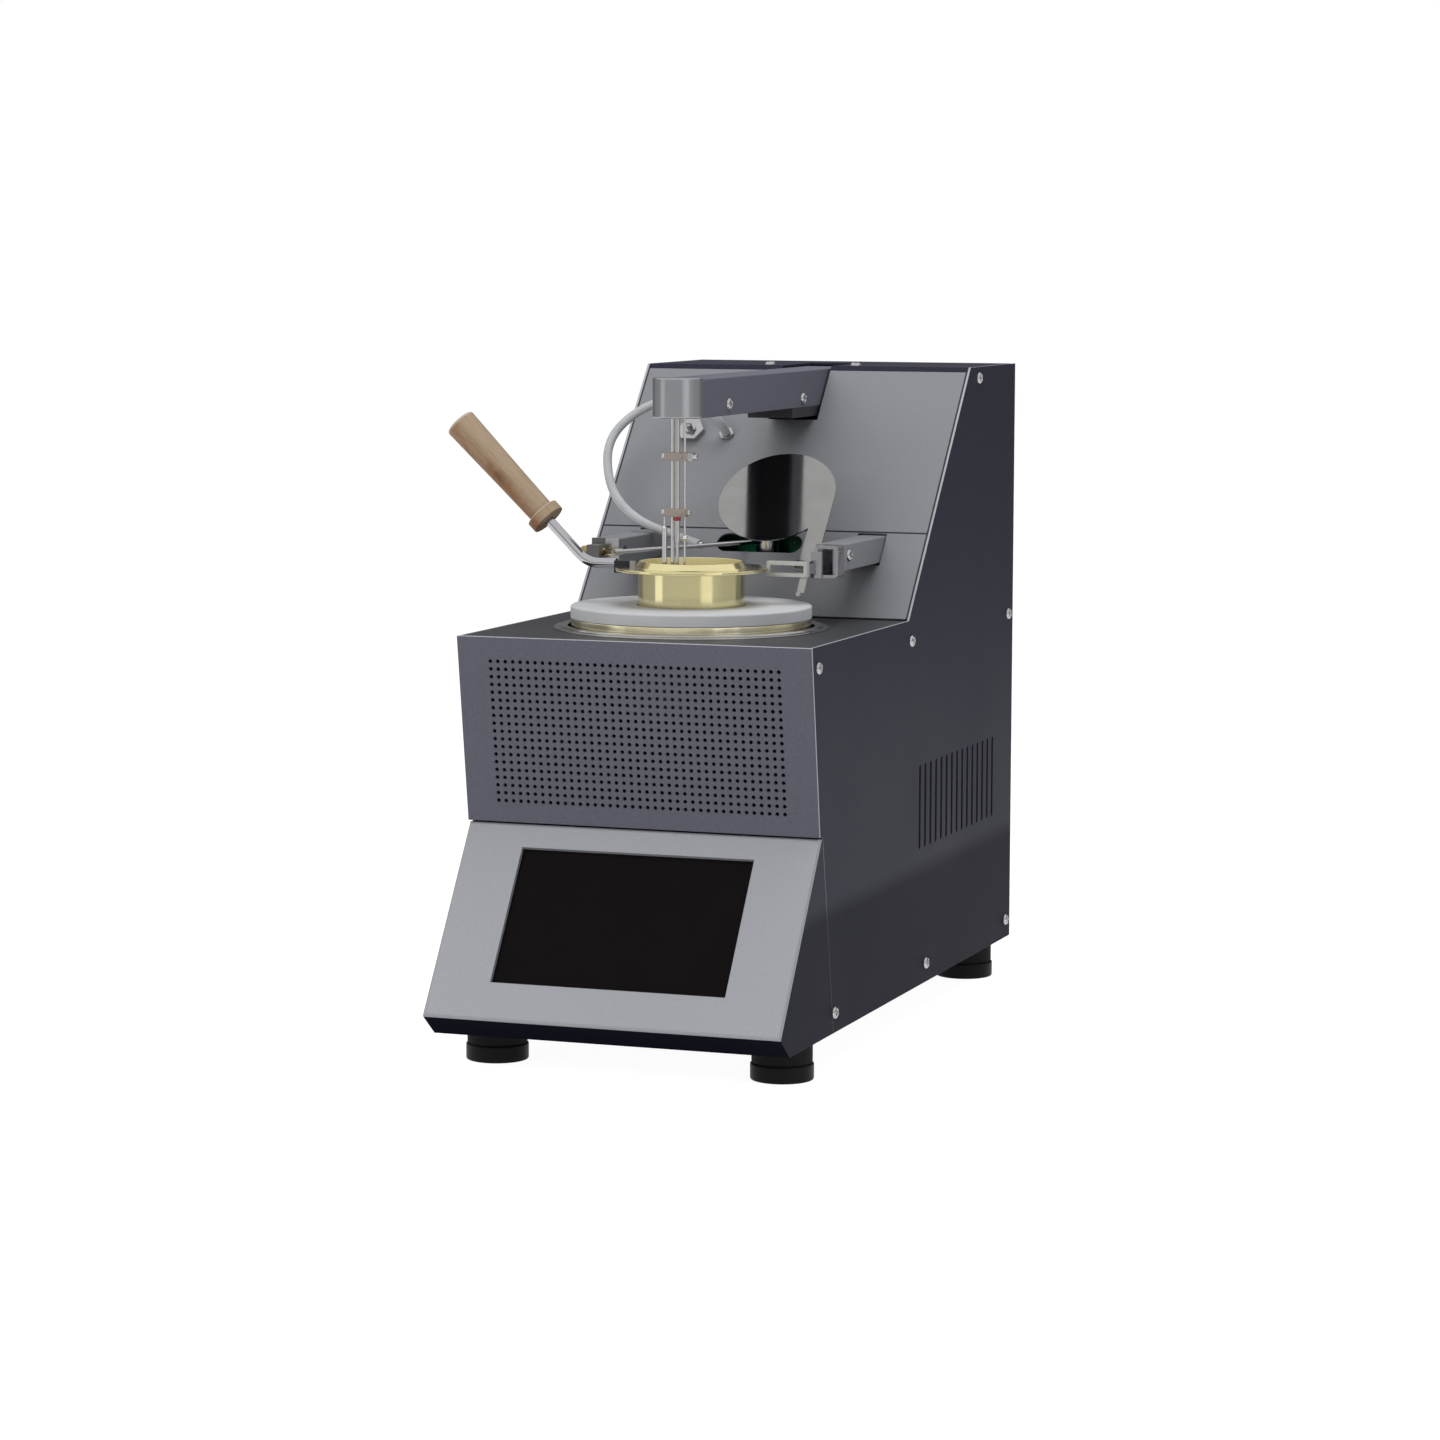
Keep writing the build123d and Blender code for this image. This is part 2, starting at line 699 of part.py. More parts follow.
def support_arm(centre):
    """One of the two arms: a channel open below, closed at its front end."""
    with BuildPart() as arm:
        middle = (centre, front_y + (arm_front_set + crossbar_set) / 2, (arm_bottom + arm_top) / 2)
        with Locations(middle):
            Box(arm_width, crossbar_set - arm_front_set, arm_top - arm_bottom)
            fillet(arm.edges().filter_by(Axis.Y).group_by(Axis.Z)[-1], radius=1.0)
        with Locations((middle[0], middle[1] + arm_wall / 2, middle[2] - arm_wall / 2)):
            Box(
                arm_width - 2 * arm_wall, crossbar_set - arm_front_set - arm_wall, arm_top - arm_bottom - arm_wall,
                mode=Mode.SUBTRACT,
            )
        with Locations((centre, front_y + arm_screw_set, arm_screw_height)):
            Cylinder(screw_hole_radius, arm_width, rotation=(0, 90, 0), mode=Mode.SUBTRACT)
    return arm


with BuildPart() as support_arms:
    add(support_arm(-arm_x).part)
    add(support_arm(arm_x).part)
finish(support_arms, "support_arms")

with BuildPart() as swing_motor:
    with BuildSketch(Plane.XY.offset(frame_height)):
        with Locations((0, swing_y)):
            RectangleRounded(swing_motor_width, swing_motor_width, 4)
    extrude(amount=swing_motor_height)
    with BuildSketch(Plane.XY.offset(motor_top)):
        with Locations((0, swing_y)):
            Circle(hub_shaft_radius + bearing_clearance)
    extrude(amount=-12, mode=Mode.SUBTRACT)
finish(swing_motor, "swing_motor")

pivot_boss_radius = 12.0
ear_outer = pivot_ear_inner + pivot_ear_thickness
with BuildPart() as arm_bracket:
    with BuildSketch(Plane.YZ):
        with BuildLine():
            Polyline(
                (pivot_y - 20, frame_height), (pivot_y + 20, frame_height),
                (pivot_y + pivot_boss_radius, pivot_height + pivot_boss_radius),
                (pivot_y - pivot_boss_radius, pivot_height + pivot_boss_radius), close=True,
            )
        make_face()
        with Locations((pivot_y, pivot_height)):
            Circle(pivot_radius + bearing_clearance, mode=Mode.SUBTRACT)
    extrude(amount=ear_outer, both=True)
    with Locations((0, pivot_y, frame_height + 3)):
        Box(2 * pivot_ear_inner, 60, 200, align=(Align.CENTER, Align.CENTER, Align.MIN), mode=Mode.SUBTRACT)
finish(arm_bracket, "arm_bracket")

with BuildPart() as lift_motor:
    with BuildSketch(Plane.YZ.offset(ear_outer)):
        with Locations((pivot_y, pivot_height)):
            Circle(lift_motor_radius)
    extrude(amount=lift_motor_length)
    with BuildSketch(Plane.YZ.offset(ear_outer)):
        with Locations((pivot_y, pivot_height)):
            Circle(pivot_radius + bearing_clearance)
    extrude(amount=10, mode=Mode.SUBTRACT)
finish(lift_motor, "lift_motor")

# ---------------------------------------------------------------- probe head
head_half = head_width / 2
head_inner = head_half - head_sheet
nose_y = front_y + head_nose_set
tongue_back_set = 145.0
head_screw_spots = [(133.0, 386.6), (281.7, 385.2)]
block_front_set = 272.0
block_back_set = 383.0
under_front_set = 260.0
under_back_set = 324.0
under_bottom = 372.6

with BuildPart() as head_arm:
    with BuildSketch(Plane.XZ.offset(-nose_y)):
        with BuildLine():
            arm_outline = [
                (-head_half, head_bottom), (-head_half, head_top), (head_half, head_top), (head_half, head_bottom),
            ]
            Polyline(*folded_sheet(arm_outline, -head_sheet), close=True)
        make_face()
    extrude(amount=head_nose_set - head_back_set)
    fillet(head_arm.edges().filter_by(Axis.Y).group_by(Axis.Z)[-1], radius=0.8)
    with BuildSketch(Plane.YZ):
        with Locations(*[at(*spot) for spot in head_screw_spots]):
            Circle(screw_hole_radius)
    extrude(amount=head_half, both=True, mode=Mode.SUBTRACT)
finish(head_arm, "head_arm")

rods = {
    "probe": (-4.8, probe_set, 1.4),
    "detector": (-1.0, probe_set - 2, 1.6),
    "lead": (3.2, probe_set, 0.75),
    "sheath": (-10.0, probe_set - 1, 0.65),
}  # x, set, radius
rod_seat = head_bottom + 10.0

with BuildPart() as head_nose:
    with BuildSketch(Plane.XY.offset(head_bottom)):
        with Locations((0, nose_y)):
            Circle(nose_radius)
            with Locations((0, nose_radius)):
                Rectangle(4 * nose_radius, 2 * nose_radius, mode=Mode.SUBTRACT)
    extrude(amount=head_top + 1 - head_bottom)
    fillet(head_nose.faces().filter_by(GeomType.CYLINDER).edges().filter_by(GeomType.CIRCLE), radius=1.0)
    with BuildSketch(Plane.XY.offset(head_bottom)):
        with Locations((0, front_y + (head_nose_set + tongue_back_set) / 2)):
            Rectangle(2 * head_inner, tongue_back_set - head_nose_set)
    extrude(amount=head_top - head_sheet - head_bottom)
    with BuildSketch(Plane.XY.offset(head_bottom)):
        for x, set_back, radius in list(rods.values())[:3]:
            with Locations((x, front_y + set_back)):
                Circle(radius)
    extrude(amount=rod_seat - head_bottom, mode=Mode.SUBTRACT)
    with BuildSketch(Plane.YZ):
        with Locations(at(*head_screw_spots[0])):
            Circle(screw_hole_radius)
    extrude(amount=head_half, both=True, mode=Mode.SUBTRACT)
finish(head_nose, "head_nose")

# The link runs from the arm down to the lift shaft; the drive turns the two together.
with BuildPart() as head_link:
    with BuildSketch(Plane.YZ):
        with BuildLine():
            Polyline(
                at(block_front_set, head_bottom), at(block_front_set, head_top - head_sheet),
                at(block_back_set, head_top - head_sheet), at(block_back_set, head_bottom), close=True,
            )
        make_face()
    extrude(amount=head_inner, both=True)
    with BuildSketch(Plane.YZ):
        with BuildLine():
            Polyline(
                at(under_front_set, under_bottom), at(under_front_set, head_bottom),
                at(under_back_set, head_bottom), at(under_back_set, under_bottom), close=True,
            )
        make_face()
    extrude(amount=head_half, both=True)
    with BuildSketch(Plane.YZ):
        with BuildLine():
            Polyline(
                (pivot_y - pivot_boss_radius, pivot_height), (pivot_y - pivot_boss_radius, head_bottom + 1),
                (pivot_y + pivot_boss_radius, head_bottom + 1), (pivot_y + pivot_boss_radius, pivot_height), close=True,
            )
        make_face()
        with Locations((pivot_y, pivot_height)):
            Circle(pivot_boss_radius)
    extrude(amount=8, both=True)
    with BuildSketch(Plane.YZ.offset(-ear_outer)):
        with Locations((pivot_y, pivot_height)):
            Circle(pivot_radius)
    extrude(amount=2 * ear_outer + 9)
    with BuildSketch(Plane.YZ):
        with Locations(at(*head_screw_spots[1])):
            Circle(screw_hole_radius)
    extrude(amount=head_half, both=True, mode=Mode.SUBTRACT)
finish(head_link, "head_link")

with BuildPart() as head_screws:
    add(button_screws(Plane.YZ.offset(head_half), [at(*spot) for spot in head_screw_spots]))
    mirror(about=Plane.YZ)
finish(head_screws, "head_screws")


def stepped_rod(x, set_back, steps):
    """A vertical rod of stacked (radius, bottom height) steps hanging from the nose."""
    y = front_y + set_back
    top = rod_seat
    with BuildPart() as rod:
        for radius, bottom in steps:
            with BuildSketch(Plane.XY.offset(bottom)):
                with Locations((x, y)):
                    Circle(radius)
            extrude(amount=top - bottom)
            top = bottom
    return rod


upper_clamp = (352.5, 357.5, -11.7, 12.0)
lower_clamp = (317.0, 322.0, -11.9, 7.5)
x, set_back, radius = rods["probe"]
finish(stepped_rod(x, set_back, [(radius, probe_tip_height)]), "temperature_probe")
x, set_back, radius = rods["detector"]
detector = stepped_rod(x, set_back, [(radius, 301.0), (1.1, probe_tip_height - 2)])
with detector:
    with Locations((x, front_y + set_back, lower_clamp[0])):
        Cylinder(radius + 0.6, 2.5, align=(Align.CENTER, Align.CENTER, Align.MAX))
finish(detector, "flash_detector")

x, set_back, radius = rods["lead"]
lead = stepped_rod(x, set_back, [(radius, probe_tip_height)])
with lead:
    with Locations((x, front_y + set_back, 303.7)):
        Sphere(2.0)
finish(lead, "detector_lead")

x, set_back, radius = rods["sheath"]
with BuildPart() as short_sheath:
    with BuildSketch(upright(x, front_y + set_back)):
        with BuildLine():
            Polyline(
                (0, probe_tip_height + 1), (1.6, probe_tip_height + 1), (1.6, 309.6), (1.2, 310.8), (0.65, 311.2),
                (0.65, lower_clamp[0]), (0, lower_clamp[0]), close=True,
            )
        make_face()
    revolve(axis=Axis((x, front_y + set_back, 0), (0, 0, 1)))
finish(short_sheath, "short_sheath")

with BuildPart() as probe_clamps:
    for bottom, top, left, right in (upper_clamp, lower_clamp):
        middle = ((left + right) / 2, front_y + probe_set - 1, (bottom + top) / 2)
        with Locations(middle):
            Box(right - left, 6.4, top - bottom)
        with Locations((right + 1, middle[1], middle[2])):
            Cylinder(1.7, 2, rotation=(0, 90, 0))
    with BuildSketch(Plane.XY.offset(lower_clamp[0])):
        for x, set_back, radius in list(rods.values())[:3]:
            with Locations((x, front_y + set_back)):
                Circle(radius)
    extrude(amount=upper_clamp[1] - lower_clamp[0], mode=Mode.SUBTRACT)
finish(probe_clamps, "probe_clamps")

# ---------------------------------------------------------------- swinging test flame
flame_run = Vector(0, -1, 0).rotate(Axis.Z, -flame_park_angle)
flame_start = Vector(0, swing_y, flame_height)
flame_tip = flame_start + flame_run * flame_radius
tap_root = flame_start + flame_run * hose_tap_distance
tap_end = Vector(-34.9, front_y + 200.0, 293.2)
tap_run = (tap_end - tap_root).normalized()

with BuildPart() as flame_tube:
    with BuildSketch(Plane.XY.offset(hub_bottom)):
        with Locations((0, swing_y)):
            Circle(hub_radius)
    extrude(amount=hub_top - hub_bottom)
    with BuildSketch(Plane.XY.offset(motor_top - 10)):
        with Locations((0, swing_y)):
            Circle(hub_shaft_radius)
    extrude(amount=hub_bottom - motor_top + 11)
    with BuildSketch(Plane(origin=flame_start + flame_run * (hub_radius - 2), z_dir=flame_run)):
        Circle(flame_tube_radius)
    extrude(amount=flame_radius - hub_radius + 2 - nozzle_length)
    with BuildSketch(Plane(origin=flame_tip - flame_run * nozzle_length, z_dir=flame_run)):
        Circle(nozzle_radius)
    extrude(amount=nozzle_length)
    with BuildSketch(Plane(origin=flame_tip, z_dir=flame_run)):
        Circle(0.6)
    extrude(amount=-4, mode=Mode.SUBTRACT)
    with BuildSketch(Plane(origin=tap_root, z_dir=tap_run)):
        Circle(hose_tap_radius)
    extrude(amount=hose_tap_length)
finish(flame_tube, "flame_tube")

# ---------------------------------------------------------------- lid
yaw = radians(lid_hinge_yaw)
pitch = radians(lid_hinge_pitch)
hinge_point = Vector(lid_hinge_x, front_y + lid_hinge_set, lid_hinge_height)
hinge_run = Vector(cos(pitch) * cos(yaw), -cos(pitch) * sin(yaw), -sin(pitch))
hinge_axis = Axis(hinge_point, hinge_run)
sleeve_start = hinge_point - hinge_run * lid_sleeve_gap
sleeve_middle = sleeve_start - hinge_run * (lid_sleeve_length / 2)
root_gap = Vector(0, cup_y) - Vector(sleeve_middle.X, sleeve_middle.Y)
neck_offset = lid_radius - lid_neck_width / 2
neck_length = (root_gap.length**2 - neck_offset**2) ** 0.5
neck_swing = 90 - degrees(acos(neck_offset / root_gap.length))
neck_run = root_gap.normalized().rotate(Axis.Z, neck_swing)

with BuildPart() as lid:
    with BuildSketch(Plane.XY.offset(lid_height)):
        with Locations((0, cup_y)):
            Circle(lid_radius)
    extrude(amount=lid_thickness)
    neck_root = Vector(sleeve_middle.X, sleeve_middle.Y, lid_height)
    with BuildSketch(Plane(origin=neck_root, x_dir=neck_run, z_dir=(0, 0, 1))):
        with Locations((neck_length / 2, 0)):
            Rectangle(neck_length, lid_neck_width)
    extrude(amount=lid_thickness)
    with BuildSketch(Plane(origin=sleeve_start, z_dir=-hinge_run)):
        Circle(lid_sleeve_radius)
    extrude(amount=lid_sleeve_length)
    across = Vector(hinge_run.X, hinge_run.Y, 0).normalized()
    web_foot = sleeve_middle.Z
    with BuildSketch(Plane(origin=(sleeve_middle.X, sleeve_middle.Y, web_foot), x_dir=across, z_dir=(0, 0, 1))):
        Rectangle(lid_sleeve_length - 1.5, 2.4)
    extrude(amount=lid_height + lid_thickness - web_foot)
    with BuildSketch(Plane(origin=sleeve_start, z_dir=-hinge_run)):
        Circle(lid_pin_radius + bearing_clearance)
    extrude(amount=lid_sleeve_length, mode=Mode.SUBTRACT)
lid.part = lid.part.rotate(hinge_axis, -lid_turn)
finish(lid, "lid")

bracket_back_set = arm_front_set
bracket_right = arm_x + arm_width / 2
bracket_plane = Plane.XZ.offset(-front_y - bracket_front_set)
with BuildPart() as hinge_bracket:
    bracket_middle = ((bracket_left + bracket_right) / 2, (bracket_bottom + arm_top) / 2)
    bracket_size = (bracket_right - bracket_left, arm_top - bracket_bottom)
    with BuildSketch(bracket_plane):
        with Locations(bracket_middle):
            RectangleRounded(*bracket_size, 3)
    extrude(amount=bracket_front_set - bracket_back_set)
    with BuildSketch(bracket_plane):
        with Locations(bracket_middle):
            RectangleRounded(bracket_size[0] - 2 * bracket_wall, bracket_size[1] - 2 * bracket_wall, 1)
    extrude(amount=bracket_front_set - bracket_back_set + bracket_wall, mode=Mode.SUBTRACT)
    with BuildSketch(Plane(origin=hinge_point, z_dir=hinge_run)):
        Circle(lid_pin_radius)
    extrude(amount=6, mode=Mode.SUBTRACT)
    igniter_back = front_y + igniter_set + igniter_depth / 2
    flange_front = front_y + bracket_front_set - bracket_wall
    with Locations((72.5, flange_front + bracket_wall / 2, 284.5)):
        Box(7.0, bracket_wall, 17.0)
    with Locations((68.2, (igniter_back + flange_front + bracket_wall) / 2, 282.0)):
        Box(4.6, flange_front + bracket_wall - igniter_back, 6.0)
finish(hinge_bracket, "hinge_bracket")

with BuildPart() as hinge_pin:
    with BuildSketch(Plane(origin=hinge_point + hinge_run * 3.4, z_dir=-hinge_run)):
        Circle(lid_pin_radius)
    extrude(amount=3.4 + lid_sleeve_gap + lid_sleeve_length + 1.2)
    with BuildSketch(Plane(origin=sleeve_start - hinge_run * (lid_sleeve_length + 0.2), z_dir=-hinge_run)):
        Circle(lid_sleeve_radius - 0.6)
    extrude(amount=1.2)
finish(hinge_pin, "hinge_pin")

# ---------------------------------------------------------------- igniter and pilot
igniter_y = front_y + igniter_set
igniter_plane = Plane.XZ.offset(-igniter_y + igniter_depth / 2)
igniter_middle = ((igniter_left + igniter_right) / 2, (igniter_bottom + igniter_top) / 2)
igniter_size = (igniter_right - igniter_left, igniter_top - igniter_bottom)
leg_foot = igniter_bottom - 10.0
with BuildPart() as igniter_frame:
    with BuildSketch(igniter_plane):
        with Locations(igniter_middle):
            Rectangle(*igniter_size)
            Rectangle(igniter_size[0] - 2 * igniter_bar, igniter_size[1] - 2 * igniter_bar, mode=Mode.SUBTRACT)
    extrude(amount=-igniter_depth)
    with BuildSketch(Plane.XZ.offset(-igniter_y + 0.8)):
        with BuildLine():
            Polyline(
                (64.6, igniter_bottom + 1), (69.2, igniter_bottom + 1), (66.8, leg_foot), (62.0, leg_foot), close=True
            )
        make_face()
    extrude(amount=-1.6)
    with Locations((63.0, igniter_y, leg_foot - 0.8)):
        Cylinder(1.5, 3.2, rotation=(90, 0, 0))
finish(igniter_frame, "igniter_frame")

arm_front_y = front_y + arm_front_set
block_size = (9.0, 11.0, 9.0)
block_middle = (-81.5, arm_front_y - 2.0 - block_size[1] / 2, 288.5)
with BuildPart() as pilot_bracket:
    with Locations((-arm_x, arm_front_y - 1.0, 290.0)):
        Box(arm_width, 2.0, 14.0)
    with Locations(block_middle):
        Box(*block_size)
        Cylinder(2.6, block_size[0], rotation=(0, 90, 0), mode=Mode.SUBTRACT)
finish(pilot_bracket, "pilot_bracket")

# The pilot's brass nipple crosses the block from its nut and ends in the jet beside the flame tube.
with BuildPart() as pilot_jet:
    nut_x = block_middle[0] - block_size[0] / 2
    with BuildSketch(Plane.YZ.offset(nut_x)):
        with Locations(block_middle[1:]):
            RegularPolygon(4.0, 6)
    extrude(amount=-4.5)
    with BuildSketch(Plane.YZ.offset(nut_x - 7.0)):
        with Locations(block_middle[1:]):
            Circle(2.6)
    extrude(amount=block_size[0] + 9.0)
    jet_start = Vector(nut_x + block_size[0] + 1.4, block_middle[1], block_middle[2])
    jet_run = Vector(0.64, -0.77, 0).normalized()
    with BuildSketch(Plane(origin=jet_start, z_dir=jet_run)):
        Circle(1.7)
    extrude(amount=19)
finish(pilot_jet, "pilot_jet")

# ---------------------------------------------------------------- gas line
face_spot = column_plane.from_local_coords


def face_plane(x, along):
    """A plane on the sloping face at (x, distance up it)."""
    return Plane(origin=face_spot((x, along, 0)), x_dir=(1, 0, 0), z_dir=column_plane.z_dir)


valve_plane = face_plane(valve_x, valve_along)
barb_plane = face_plane(barb_x, barb_along)
valve_depth = 24.0

manifold_y = (valve_along + barb_along) / 2

with BuildPart() as gas_manifold:
    with BuildSketch(column_plane.offset(-sheet)):
        with Locations(((valve_x + barb_x) / 2, manifold_y)):
            SlotOverall(barb_x - valve_x + 16, 16)
    extrude(amount=sheet - valve_depth)
    with BuildSketch(valve_plane.offset(-2 * sheet)):
        Circle(4.0)
    extrude(amount=5.5 + 2 * sheet)
    with BuildSketch(valve_plane):
        RegularPolygon(9.6, 6)
    extrude(amount=4)
    with BuildSketch(valve_plane.offset(5.5)):
        Circle(2.0 + bearing_clearance)
    extrude(amount=-15, mode=Mode.SUBTRACT)
    with BuildSketch(barb_plane.offset(-2 * sheet)):
        Circle(4.0)
    extrude(amount=2 * sheet)
    with BuildSketch(barb_plane):
        RegularPolygon(5.2, 6)
    extrude(amount=2.5)
    with BuildSketch(barb_plane):
        Circle(hose_tap_radius)
    extrude(amount=8.5)
finish(gas_manifold, "gas_manifold")

with BuildPart() as flame_valve_spindle:
    with BuildSketch(valve_plane.offset(-8.0)):
        Circle(2.0)
    extrude(amount=17)
    with BuildSketch(valve_plane.offset(9.0)):
        Rectangle(5.0, 0.8)
    extrude(amount=-1.5, mode=Mode.SUBTRACT)
finish(flame_valve_spindle, "flame_valve_spindle")

hose_loop = [
    (-58.5, 284.0, 381.0), (-73.7, 278.0, 383.6), (-88.8, 272.0, 380.2), (-100.4, 266.0, 373.0),
    (-108.9, 260.0, 364.0), (-112.6, 254.0, 354.7), (-112.4, 248.0, 343.7), (-107.2, 240.0, 327.4),
    (-97.1, 232.0, 315.0), (-83.5, 225.0, 306.2), (-68.0, 216.0, 300.6),
]  # x, set, height
hose_points = [
    face_spot((barb_x, barb_along, 2.6)), face_spot((barb_x, barb_along, 14.0)),
    *[Vector(x, front_y + set_back, z) for x, set_back, z in hose_loop],
    tap_root + tap_run * 22.0, tap_root + tap_run * 2.6,
]
hose_bends = []
for before, corner, after in zip(hose_points, hose_points[1:], hose_points[2:]):
    bend = radians((corner - before).get_angle(after - corner))
    reach = 0.45 * min((corner - before).length, (after - corner).length)
    hose_bends.append(reach / tan(bend / 2))

with BuildPart() as gas_hose:
    with BuildLine():
        FilletPolyline(*hose_points, radius=hose_bends)
    with BuildSketch(Plane(origin=hose_points[0], z_dir=column_plane.z_dir)):
        Circle(hose_radius)
        Circle(hose_tap_radius, mode=Mode.SUBTRACT)
    sweep()
finish(gas_hose, "gas_hose")

# The solenoid valve stands on the shelf in line with the inlet, and a pipe climbs to the flame valve.
valve_front_set = 372.0
valve_back_set = 402.0
valve_pipe_radius = 2.5
valve_body_height = gas_inlet_height - frame_height + 10.0
valve_coil_height = gas_inlet_height - frame_height + 44.0

with BuildPart() as gas_valve:
    with Locations((inlet_x, front_y + (valve_front_set + valve_back_set) / 2, frame_height)):
        valve_body_length = valve_back_set - valve_front_set
        Box(26, valve_body_length, valve_body_height, align=(Align.CENTER, Align.CENTER, Align.MIN))
        Cylinder(14.0, valve_coil_height, align=(Align.CENTER, Align.CENTER, Align.MIN))
    with BuildSketch(Plane.XZ.offset(-front_y - valve_back_set + 1)):
        with Locations((inlet_x, gas_inlet_height)):
            Circle(gas_thread_radius)
    extrude(amount=valve_back_set - cabinet_depth - 11)
    with BuildSketch(Plane.XZ.offset(-back_y - 10)):
        with Locations((inlet_x, gas_inlet_height)):
            Circle(4.0)
    extrude(amount=-12)
    with BuildSketch(Plane.XZ.offset(-back_y)):
        with Locations((inlet_x, gas_inlet_height)):
            RegularPolygon(9.0, 6)
    extrude(amount=-6)
finish(gas_valve, "gas_valve")

pipe_end = face_spot((valve_x, valve_along, -valve_depth))
with BuildPart() as gas_pipe:
    with BuildLine() as pipe_path:
        pipe_low = Vector(inlet_x, front_y + valve_front_set - 18, gas_inlet_height)
        pipe_high = pipe_end - column_plane.z_dir * 18
        FilletPolyline(
            (inlet_x, front_y + valve_front_set, gas_inlet_height), pipe_low, pipe_high, pipe_end, radius=10
        )
    with BuildSketch(Plane.XZ.offset(-front_y - valve_front_set)):
        with Locations((inlet_x, gas_inlet_height)):
            Circle(valve_pipe_radius)
    sweep()
finish(gas_pipe, "gas_pipe")

# ---------------------------------------------------------------- electrics
board_thickness = 1.6


def circuit_board(plane, width, height, chips):
    """A board lying on a plane, its components given as (x, y, width, height, thickness)."""
    with BuildPart() as board:
        with BuildSketch(plane):
            Rectangle(width, height)
        extrude(amount=board_thickness)
        for chip_x, chip_y, chip_width, chip_height, chip_thickness in chips:
            with BuildSketch(plane.offset(board_thickness)):
                with Locations((chip_x, chip_y)):
                    Rectangle(chip_width, chip_height)
            extrude(amount=chip_thickness)
    return board


drive_plane = Plane(
    origin=(-6, front_y + crossbar_set, 276), x_dir=(1, 0, 0), z_dir=(0, -1, 0)
)
drive_board = circuit_board(drive_plane, 84, 34, [(-26, 4, 14, 10, 3), (30, 2, 10, 14, 5), (-8, -12, 6, 5, 1)])
finish(drive_board, "drive_board")

main_plane = Plane.XY.offset(sheet + standoff_height)
main_chips = [
    (-20, 20, 28, 28, 4), (25, 30, 20, 20, 3), (-30, -35, 18, 30, 12), (10, -30, 14, 14, 16), (35, -40, 16, 40, 11),
    (0, 64, 90, 12, 10),
]
with BuildPart() as main_board:
    with Locations((board_x, board_y, 0)):
        add(circuit_board(main_plane, board_width, board_length, main_chips).part)
finish(main_board, "main_board")

with BuildPart() as power_supply:
    with Locations((70, 45, sheet)):
        Box(62, 130, 40, align=(Align.CENTER, Align.CENTER, Align.MIN))
        Box(58, 126, 37, align=(Align.CENTER, Align.CENTER, Align.MIN), mode=Mode.SUBTRACT)
    with Locations((70, 45, sheet)):
        Box(58, 126, 4, align=(Align.CENTER, Align.CENTER, Align.MIN))
    with Locations((62, 30, sheet)):
        Box(30, 36, 30, align=(Align.CENTER, Align.CENTER, Align.MIN))
    with BuildSketch(Plane.XY.offset(sheet + 40)):
        with Locations((70, 45)):
            with GridLocations(8, 1, 6, 1):
                SlotOverall(100, 4, rotation=90)
    extrude(amount=-4, mode=Mode.SUBTRACT)
finish(power_supply, "power_supply")

# The mains inlet and its switch are one moulding; both bodies pass through the back panel.
inlet_back = Plane.XZ.offset(-back_y)
socket_spot = (inlet_x, inlet_height)
switch_spot = (inlet_x, switch_height)
rocker_y = back_y - 6.0
rocker_pin_radius = 1.2
rocker_width = switch_width - 4.0
rocker_tilt = 8.0
with BuildPart() as power_inlet:
    with BuildSketch(inlet_back):
        with Locations(socket_spot):
            Rectangle(inlet_width, inlet_rise)
        with Locations(switch_spot):
            Rectangle(switch_width, switch_rise)
    extrude(amount=24)
    with BuildSketch(inlet_back.offset(4)):
        with Locations((inlet_x, (inlet_height + switch_height) / 2)):
            Rectangle(switch_width - 2, switch_height - inlet_height)
    extrude(amount=20)
    with BuildSketch(inlet_back):
        with Locations((inlet_x, (inlet_height + switch_height + 3) / 2)):
            RectangleRounded(inlet_width + 6, switch_height - inlet_height + 29, 2)
    extrude(amount=-2)
    with BuildSketch(inlet_back.offset(-2)):
        with Locations(socket_spot):
            RectangleRounded(inlet_width - 4, inlet_rise - 4, 2)
        with Locations(switch_spot):
            Rectangle(switch_width - 3, switch_rise - 2)
    extrude(amount=20, mode=Mode.SUBTRACT)
    with BuildSketch(inlet_back.offset(19)):
        with Locations(socket_spot):
            with GridLocations(7, 1, 3, 1):
                Rectangle(2, 5)
    extrude(amount=-17)
    with BuildSketch(Plane.YZ.offset(inlet_x)):
        with Locations((rocker_y, switch_height)):
            Circle(rocker_pin_radius)
    extrude(amount=switch_width / 2 - 1, both=True)
finish(power_inlet, "power_inlet")

with BuildPart() as power_rocker:
    with BuildSketch(Plane.YZ.offset(inlet_x)):
        with BuildLine():
            Polyline(
                (rocker_y - 3.0, switch_height - 2.5), (rocker_y - 3.0, switch_height + 2.5),
                (rocker_y + 7.0, switch_height + 4.6), (rocker_y + 8.6, switch_height + 4.6),
                (rocker_y + 7.4, switch_height), (rocker_y + 8.6, switch_height - 4.6),
                (rocker_y + 7.0, switch_height - 4.6), close=True,
            )
        make_face()
        with Locations((rocker_y, switch_height)):
            Circle(rocker_pin_radius + bearing_clearance, mode=Mode.SUBTRACT)
    extrude(amount=rocker_width / 2, both=True)
rocker_axis = Axis((0, rocker_y, switch_height), (1, 0, 0))
power_rocker.part = power_rocker.part.rotate(rocker_axis, -rocker_tilt / 2)
finish(power_rocker, "power_rocker")

